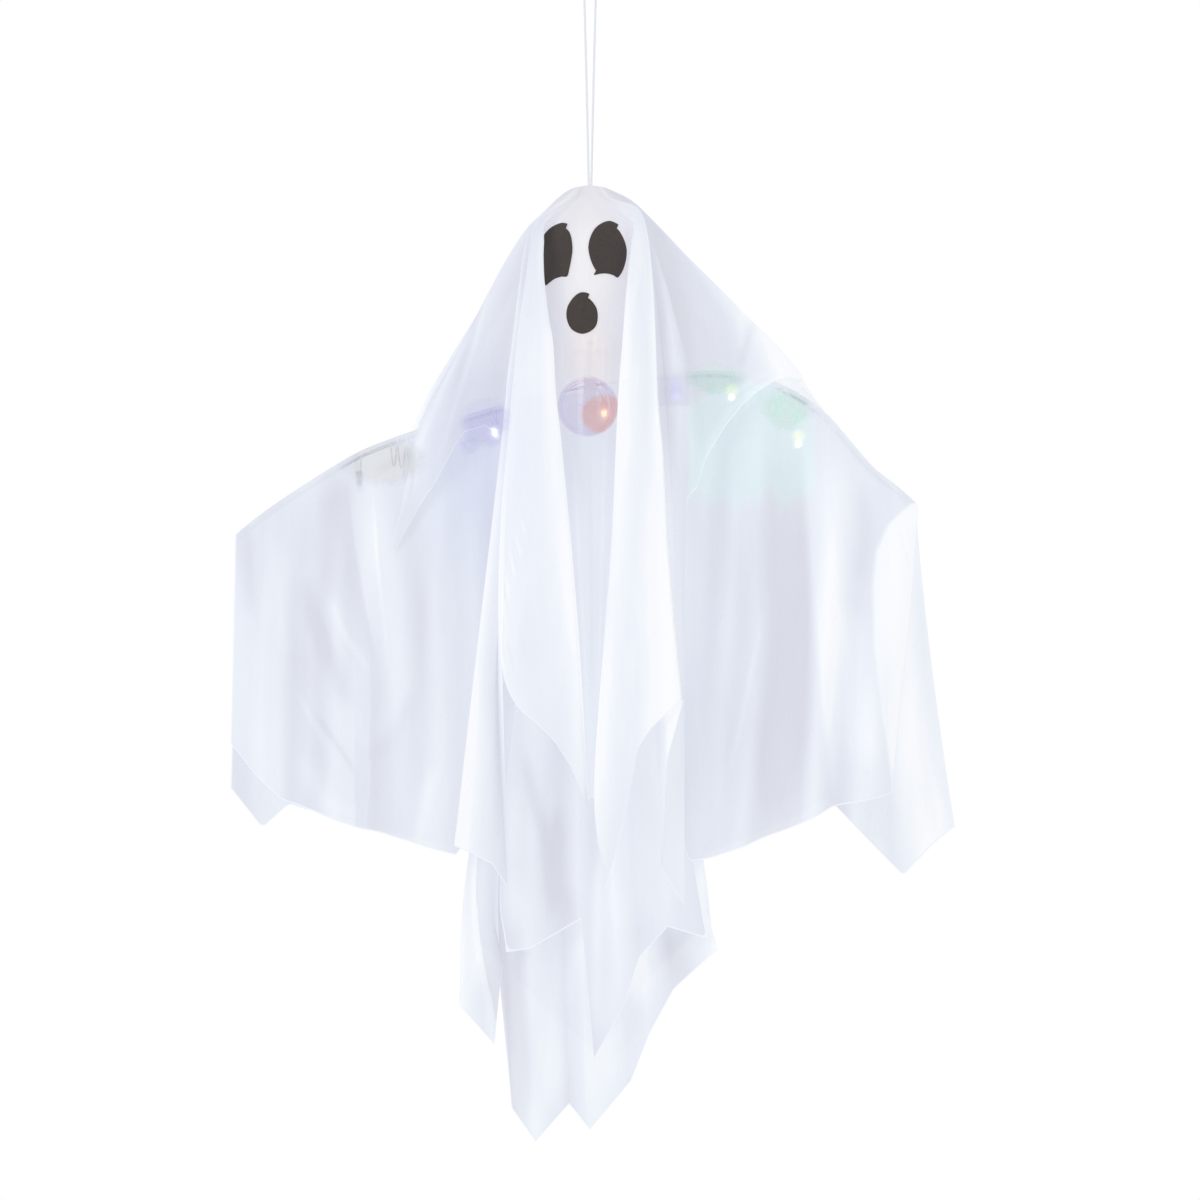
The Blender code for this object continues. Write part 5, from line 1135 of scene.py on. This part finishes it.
ROWS = np.interp(
    np.linspace(0, 1, 120), np.linspace(0, 1, 11), (0, 13, 31, 53, 77, 104, 142, 200, 295, 430, 620)
)
veil_lines = []
for angle, *places in VEIL_LINES:
    direction = np.array([math.cos(math.radians(angle)), math.sin(math.radians(angle))])
    top = [(*(CORD_HOLE_R * direction), below(0))]
    for polar in np.radians((20, 38)):
        r, d = egg(polar)
        top.append((*((r + CAP_CLEAR * math.sin(polar)) * direction), below(d - CAP_CLEAR * math.cos(polar))))
    lower = [(x * MM, y * MM, below(d * MM)) for x, y, d in places]
    if lower[0][2] > top[-1][2] - 0.004:
        top = top[:-1]
    veil_lines.append(along(top + lower, ROWS))
VEIL_BETWEEN = 14  # lines worked out from each given line to the next
veil = loft(veil_lines, VEIL_BETWEEN)
VEIL_HEM = (  # the front's hem by angle, in pixels of the photograph's frame
    (200, 432, 488), (206, 446, 462), (212, 457, 442), (215, 464, 432), (215.8, 488, 425), (216.6, 503, 440),
    (219, 494, 540), (222, 477, 660), (225, 454, 846), (227, 471, 853), (229, 492, 864), (232, 507, 886),
    (233.5, 505, 780), (235, 503, 700), (237, 501, 668), (238, 502, 668), (239.5, 506, 688),
    (241.5, 519, 710), (244, 535, 722), (246.5, 553, 739), (249, 570, 765), (250.5, 579, 785),
    (252, 588, 806), (256, 588, 800), (270, 592, 797), (284, 595, 800), (289, 606, 886), (291, 614, 860),
    (293, 624, 820), (295, 632, 780), (296.5, 637, 750), (299, 650, 730), (302, 663, 717), (305, 684, 698),
    (306.5, 667, 760), (309, 661, 868), (314, 684, 905), (314.6, 684.5, 760), (315.4, 684.5, 620),
    (316.2, 685, 510), (317, 689, 494), (318, 697, 488), (320, 702, 470), (322, 707, 456), (330, 724, 428),
    (338, 742, 405), (343, 757, 392), (348, 773, 382), (352, 787, 377.5), (355, 800, 380),
)
degrees = np.interp(
    np.arange(len(veil)) / VEIL_BETWEEN, np.arange(len(VEIL_LINES) + 1),
    [line[0] for line in VEIL_LINES] + [450]
)
fronts = (degrees >= 200) & (degrees <= 355)
wanted_x, wanted_z = at(*(np.interp(degrees[fronts], *np.array(VEIL_HEM)[:, (0, k)].T) for k in (1, 2)))
nearer = (CAMERA_AWAY + veil[fronts, -1, 1]) / CAMERA_AWAY
place_x = camera.location.x + (wanted_x - camera.location.x) * nearer
place_z = camera.location.z + (wanted_z - camera.location.z) * nearer
shift = np.column_stack([place_x - veil[fronts, -1, 0], 0 * place_x, place_z - veil[fronts, -1, 2]])
veil[fronts] += shift[:, None] * np.linspace(0, 1, veil.shape[1])[None, :, None] ** 4
eased = np.mean([np.roll(veil, step, axis=0) for step in range(-9, 10)], axis=0)
at_crown = np.clip((0.050 + CROWN + veil[..., 2:]) / 0.028, 0, 1)
veil = veil + (eased - veil) * at_crown
veil = outside_body(outside_head(veil.reshape(-1, 3))).reshape(veil.shape)
# The veil is painted lighter where it stands out and darker in its hollows below the crown, and lighter or
# darker by angle with the lifts.
stand_out = relief(veil, 14, round_=True) * np.clip((below(0.012) - veil[..., 2]) / 0.045, 0, 1)
veil_painted_shading = np.where(stand_out < 0, stand_out / 16, stand_out / 10)
LIFTS_HIGH = (  # how light the folds are above the shoulders, by angle
    (90, -0.2), (155, -0.35), (187, -0.2), (200, -0.4), (212, -0.6), (222, -0.6), (226, 0.1), (232, 0.2),
    (238, -0.2), (246, -0.6), (252, -0.2), (256, 0.1), (284, 0.2), (289, 0.1), (296, 0.1), (305, 0.7),
    (307, 0.2), (309, -0.3), (314, -0.45), (322, -1.0), (338, -1.05), (348, -0.9), (355, -0.8), (378, -0.5),
    (450, -0.2),
)
LIFTS_LOW = (
    (90, -0.2), (200, -0.35), (215, -0.3), (218, 0.25), (225, 0.3), (232, 0.3), (234, 1.4), (236, 1.4),
    (238, -0.4), (246, -0.5), (252, -0.4), (256, 0.6), (270, 0.8), (284, 0.6), (289, 0.05), (296, 0.1),
    (302, 0.9), (305, 1.45), (307, 0.7), (309, 1.0), (314, 0.9), (316, -0.2), (322, -0.4), (450, -0.2),
)
low_share = np.clip((below(0.24) - veil[..., 2]) / 0.08, 0, 1)
high_lift, low_lift = (np.interp(degrees, *np.array(lifts).T)[:, None] for lifts in (LIFTS_HIGH, LIFTS_LOW))
veil_painted_shading += high_lift + (low_lift - high_lift) * low_share
CREASES = (  # pixels of the photograph's frame, width and height in mm
    (((494, 270), (476, 348), (438, 470)), 6, 1.6),
    (((474, 320), (412, 470)), 6, 1.2),
    (((484, 300), (452, 400)), 10, -1.4),
    (((756, 316), (747, 342), (738, 372)), 9, -2.0),
    (((738, 308), (742, 356)), 9, 1.2),
    (((700, 486), (712, 440), (730, 412), (756, 390), (790, 378)), 9, 1.4),
    (((716, 408), (744, 388), (768, 372)), 6, 1.5),
    (((534, 505), (514, 570), (500, 630)), 4, 2.0),
    (((530, 640), (500, 664)), 4, -1.2),
    (((592, 336), (590, 386)), 5, -1.2),
    (((563, 333), (561, 386)), 4, 0.9),
    (((604, 333), (603, 386)), 4, 0.9),
    (((581, 374), (581, 442)), 4, 1.6),
    (((573, 445), (584, 640), (590, 785)), 4, 1.0),
    (((590, 440), (592, 720)), 5, -1.0),
    (((605, 440), (598, 720)), 4, 1.0),
)
# Each crease moves the front of the veil by its height and is painted lighter or darker with it: painted
# highlight or shade.
ahead = veil[..., 1] < 0.01
for places, wide, high in CREASES:
    lie = stroke(veil, places, wide) * ahead
    veil[..., 1] -= lie * high * MM
    veil_painted_shading += lie * high / 3
veil_sheet = cloth("veil_sheet", veil, veil_painted_shading, round_=True)
veil_sheet.data.materials.append(sheer("sheer_veil"))
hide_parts("veil")
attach(veil_sheet, "figure")

# Inner drapes. Two long sheets of the cloth are gathered and tied round the foot of the neck stem. They fall
# to pointed hems below the body cloth.
LONG_LINES = (
    (185, (-60, -3, 330), (-116, -8, 640), (-125, -12, 785)),
    (200, (-52, -8, 330), (-108, -20, 640), (-91, -26, 821)),
    (215, (-47, -3, 330), (-92, -8, 640), (-84, -12, 748)),
    (228, (-41, -1, 330), (-84, 2, 640), (-82, 2, 800), (-75, -2, 885)),
    (242, (-30, -7, 330), (-58, -14, 640), (-52, -20, 914)),
    (255, (-17, -2, 330), (-27, 2, 640), (-20, -2, 881)),
    (268, (-4, -7, 330), (-8, -12, 640), (0, -18, 903)),
    (281, (11, -2, 330), (14, 2, 640), (39, -4, 859)),
    (294, (24, -7, 330), (40, -10, 640), (57, -12, 812)),
    (308, (38, -2, 330), (64, 2, 640), (80, -4, 771)),
    (322, (50, -6, 330), (96, -10, 640), (122, -16, 731)),
    (345, (55, 3, 330), (108, 6, 640), (114, 8, 705)),
    (385, (38, 12, 330), (62, 24, 640), (58, 26, 762)),
    (445, (8, 15, 330), (8, 28, 640), (6, 32, 838)),
    (490, (-24, 13, 330), (-44, 26, 640), (-46, 28, 788)),
    (522, (-48, 6, 330), (-98, 12, 640), (-106, 12, 728)),
)
MID_LINES = (
    (205, (-46, -10, 330), (-84, -21, 640), (-80, -24, 733)),
    (222, (-37, -14, 330), (-62, -31, 640), (-58, -34, 729)),
    (238, (-23, -10, 330), (-32, -24, 640), (-30, -26, 714)),
    (254, (-9, -14, 330), (-10, -31, 640), (-8, -34, 700)),
    (270, (4, -10, 330), (4, -24, 640), (4, -28, 834)),
    (286, (17, -14, 330), (22, -31, 640), (32, -34, 784)),
    (302, (30, -10, 330), (42, -23, 640), (47, -26, 738)),
    (318, (41, -14, 330), (70, -30, 640), (74, -32, 708)),
    (335, (50, -10, 330), (98, -21, 640), (112, -24, 720)),
)
DRAPE_BETWEEN = 16  # lines worked out from each given line to the next
gather_drop = flange_top + FLANGE_T + STEM_LENGTH - 0.006
DRAPE_ROWS = np.interp(np.linspace(0, 1, 110), np.linspace(0, 1, 9), (0, 8, 22, 70, 150, 260, 380, 520, 700))
DRAPE_PAINTED_FOLDS = {  # pixels of the photograph's frame, width in mm, how much lighter, sharp side
    "long_drape": (
        (((519, 900), (523, 1000), (532, 1120)), 24, -1.0, 0),
        (((561, 890), (561, 1000), (556, 1120)), 32, 1.0, 0),
        (((600, 880), (612, 1000), (620, 1120)), 60, 1.1, 0),
        (((645, 880), (636, 1010)), 50, 1.0, 0), (((480, 830), (478, 920), (482, 990)), 36, 0.9, 0),
        (((664, 930), (690, 990)), 26, -0.5, 0), (((700, 860), (700, 940)), 16, 0.7, 0),
    ),
    "mid_drape": (
        (((520, 740), (544, 832), (554, 920)), 16, -0.8, 0),
        (((558, 800), (560, 880), (575, 930)), 26, -0.7, 0),
        (((514, 780), (514, 930)), 14, 0.4, 0), (((598, 850), (596, 960), (594, 1040)), 14, 0.9, 0),
        (((622, 880), (620, 960), (606, 1040)), 26, 0.5, 0),
        (((628, 700), (634, 820), (640, 930)), 70, 0.9, 0),
    ),
}
sheet_material = sheer("sheer_drape")
for name, node_name, lines, radius, opening, closed in (
    ("long_drape_sheet", "long_drape", LONG_LINES, 0.0071, 0.0008, True),
    ("mid_drape_sheet", "mid_drape", MID_LINES, 0.0088, 0.0021, False),
):
    made = []
    for angle, *places in lines:
        turn = math.radians(angle)
        tied = ((-0.004, radius), (0.004, radius), (0.016, radius + opening))
        ring = [(r * math.cos(turn), r * math.sin(turn), below(gather_drop + d)) for d, r in tied]
        made.append(along(ring + [(x * MM, y * MM, below(d * MM)) for x, y, d in places], DRAPE_ROWS))
    grid = loft(made, DRAPE_BETWEEN)
    if not closed:
        grid = grid[: DRAPE_BETWEEN * (len(made) - 1) + 1]
    off_stem = np.hypot(grid[..., 0], grid[..., 1])[..., None]
    grid[..., :2] *= np.maximum(1, radius / off_stem)
    # The drapes' folds are only painted: lighter where the sheet stands out and darker in its hollows, with
    # the listed streaks of painted highlight and shade.
    drape_painted_shading = relief(grid, 10, closed) / 9
    for places, wide, high, sharp in DRAPE_PAINTED_FOLDS[node_name]:
        drape_painted_shading += stroke(grid, places, wide, sharp) * high * (grid[..., 1] < 0.004)
    drape = cloth(name, grid, drape_painted_shading, round_=closed)
    drape.data.materials.append(sheet_material)
    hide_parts(node_name)
    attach(drape, "figure")
    size = area_of(grid)
    side = math.sqrt(size)

# Felt face. Two tall eyes and a mouth are cut from dark felt, each with a small curl at its top. They lie on
# the veil, over the front of the head.
angles = [line[0] for line in VEIL_LINES]
face_grid = veil[VEIL_BETWEEN * angles.index(256) : VEIL_BETWEEN * angles.index(284) + 1]
face_quads = quads(*face_grid.shape[:2]).tolist()
face_tree = BVHTree.FromPolygons(face_grid.reshape(-1, 3).tolist(), face_quads)
felt_material, tree, shader = material("dark_felt", (0.045, 0.040, 0.037), 0.95)
fibres = noise(tree, object_place(tree), 700.0, 5.0, Roughness=0.7)
shade = ramp(tree, fibres, (0.026, 0.019, 0.016), (0.083, 0.064, 0.057))
tree.links.new(shade.outputs["Color"], shader.inputs["Base Color"])
bumps(tree, shader, fibres, 0.6, 0.0006)
shader.inputs["Sheen Weight"].default_value = 0.2
OUTLINES = {  # pixels of the photograph's frame, in order round the patch
    "left_eye": (
        (544.2, 235.1), (548.1, 229.7), (552.7, 226.2), (558.1, 223.8), (563.2, 222.9), (568, 224.4),
        (565.8, 225.9), (562.8, 226.6), (565.9, 228.5), (569.2, 231.8), (571.4, 236.9), (572.6, 243.9),
        (572.9, 251.4), (571.7, 260.5), (569.8, 269.5), (567.6, 276.6), (561.7, 276.6), (555.1, 278.2),
        (549.6, 281.6), (546, 283.7), (544.8, 275.5), (544.2, 260.5), (543.9, 245.4),
    ),
    "right_eye": (
        (588.5, 249), (589.7, 240.9), (592.5, 233.9), (596.4, 228.2), (602.4, 223.7), (608.4, 221.5),
        (613, 222.1), (618.2, 224.7), (616.6, 225.8), (613, 226.4), (617.5, 229.4), (621.4, 234.8),
        (624.7, 241.8), (626.5, 249.9), (625.9, 258.9), (623.5, 268), (620.5, 274), (617.3, 277.6),
        (613, 275.5), (606.9, 274.2), (600.9, 274.5), (594, 275.8), (596.1, 272.5), (592.8, 265.9),
        (590, 258.3),
    ),
    "mouth": (
        (566.8, 314.7), (567.7, 307.2), (570.8, 301.2), (575.3, 296), (579.8, 293.2), (584.3, 292.6),
        (589.3, 294.2), (588.6, 296.2), (585.8, 296.9), (590.4, 299.7), (594.3, 304.2), (597, 309.3),
        (597.9, 316.2), (597, 323.2), (594, 328.3), (588.8, 331.9), (582.8, 333.4), (576.8, 331.9),
        (571.7, 328.3), (568.3, 322.3),
    ),
}
FELT_LOWER = 0.0045  # what stands nearer to the camera looks higher
FELT_OFF = 0.0010  # from the veil to the felt's back
RING = 240  # points round each patch
for name, outline in OUTLINES.items():
    flat = (np.array(outline) - CROWN_SPOT) * PIXEL
    ring = through(flat, RING, closed=True)
    centre = ring.mean(axis=0)
    rings = [centre + (ring - centre) * share for share in (0.999, 0.985, 0.93, 0.8, 0.6, 0.4, 0.2, 0.02)]
    lifts = (0.0, 0.0007, 0.0009, 0.0009, 0.0009, 0.0009, 0.0009, 0.0009)
    points = []
    for shape, lift in zip(rings, lifts):
        for x, drop in shape:
            hit = face_tree.ray_cast((x, -0.3, below(drop) - FELT_LOWER), (0, 1, 0))[0]
            points.append((x, hit[1] - FELT_OFF - lift, below(drop) - FELT_LOWER))
    faces = quads(len(rings), RING, closed=True)[:, OTHER_WAY].tolist()
    faces.append([(len(rings) - 1) * RING + step for step in range(RING)])
    mesh = bpy.data.meshes.new(f"felt_{name}")
    mesh.from_pydata(points, [], faces)
    mesh.polygons.foreach_set("use_smooth", np.ones(len(faces), bool))
    patch = stand(f"felt_{name}", mesh)
    mesh.materials.append(felt_material)
    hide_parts(name)
    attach(patch, "figure")

# Studio. A plain pale floor far below the figure and a pale world, which looks white behind it. One large
# soft lamp shines from the left in front, a weaker one from the right, and one from behind.
bpy.ops.mesh.primitive_circle_add(vertices=96, radius=1.2, fill_type="NGON", location=(0, 0, -1.45))
floor = bpy.context.object
floor.name = "studio_floor"
floor_material, tree, shader = material("pale_floor", (0.9, 0.9, 0.9), 0.8)
floor.data.materials.append(floor_material)
world = bpy.data.worlds.new("studio")
bpy.context.scene.world = world
world.use_nodes = True
tree = world.node_tree
tree.nodes.clear()
path = node(tree, "ShaderNodeLightPath")
seen = numbers(tree, "MAXIMUM", path.outputs["Is Camera Ray"], path.outputs["Is Glossy Ray"])
seen = numbers(tree, "MAXIMUM", seen, path.outputs["Is Transmission Ray"])
ambient = node(tree, "ShaderNodeBackground", {"Color": (0.93, 0.96, 1.0, 1), "Strength": 0.78})
white = node(tree, "ShaderNodeBackground", {"Color": (1, 1, 1, 1), "Strength": 1.0})
sky = node(tree, "ShaderNodeMixShader", {0: seen, 1: ambient.outputs[0], 2: white.outputs[0]})
node(tree, "ShaderNodeOutputWorld", {"Surface": sky.outputs[0]})
for name, place, size, power in (
    ("key", (-1.6, -2.0, 0.5), 1.4, 16),
    ("fill", (1.9, -1.8, -0.2), 1.6, 7),
    ("back", (0.4, 2.2, 0.6), 1.6, 12),
):
    lamp = stand(name, bpy.data.lights.new(name, "AREA"))
    lamp.data.size = size
    lamp.data.energy = power
    lamp.location = place
    lamp.rotation_euler = (Vector((0, 0, -0.6)) - Vector(place)).to_track_quat("-Z", "Y").to_euler()
bpy.context.scene.view_settings.view_transform = "Standard"
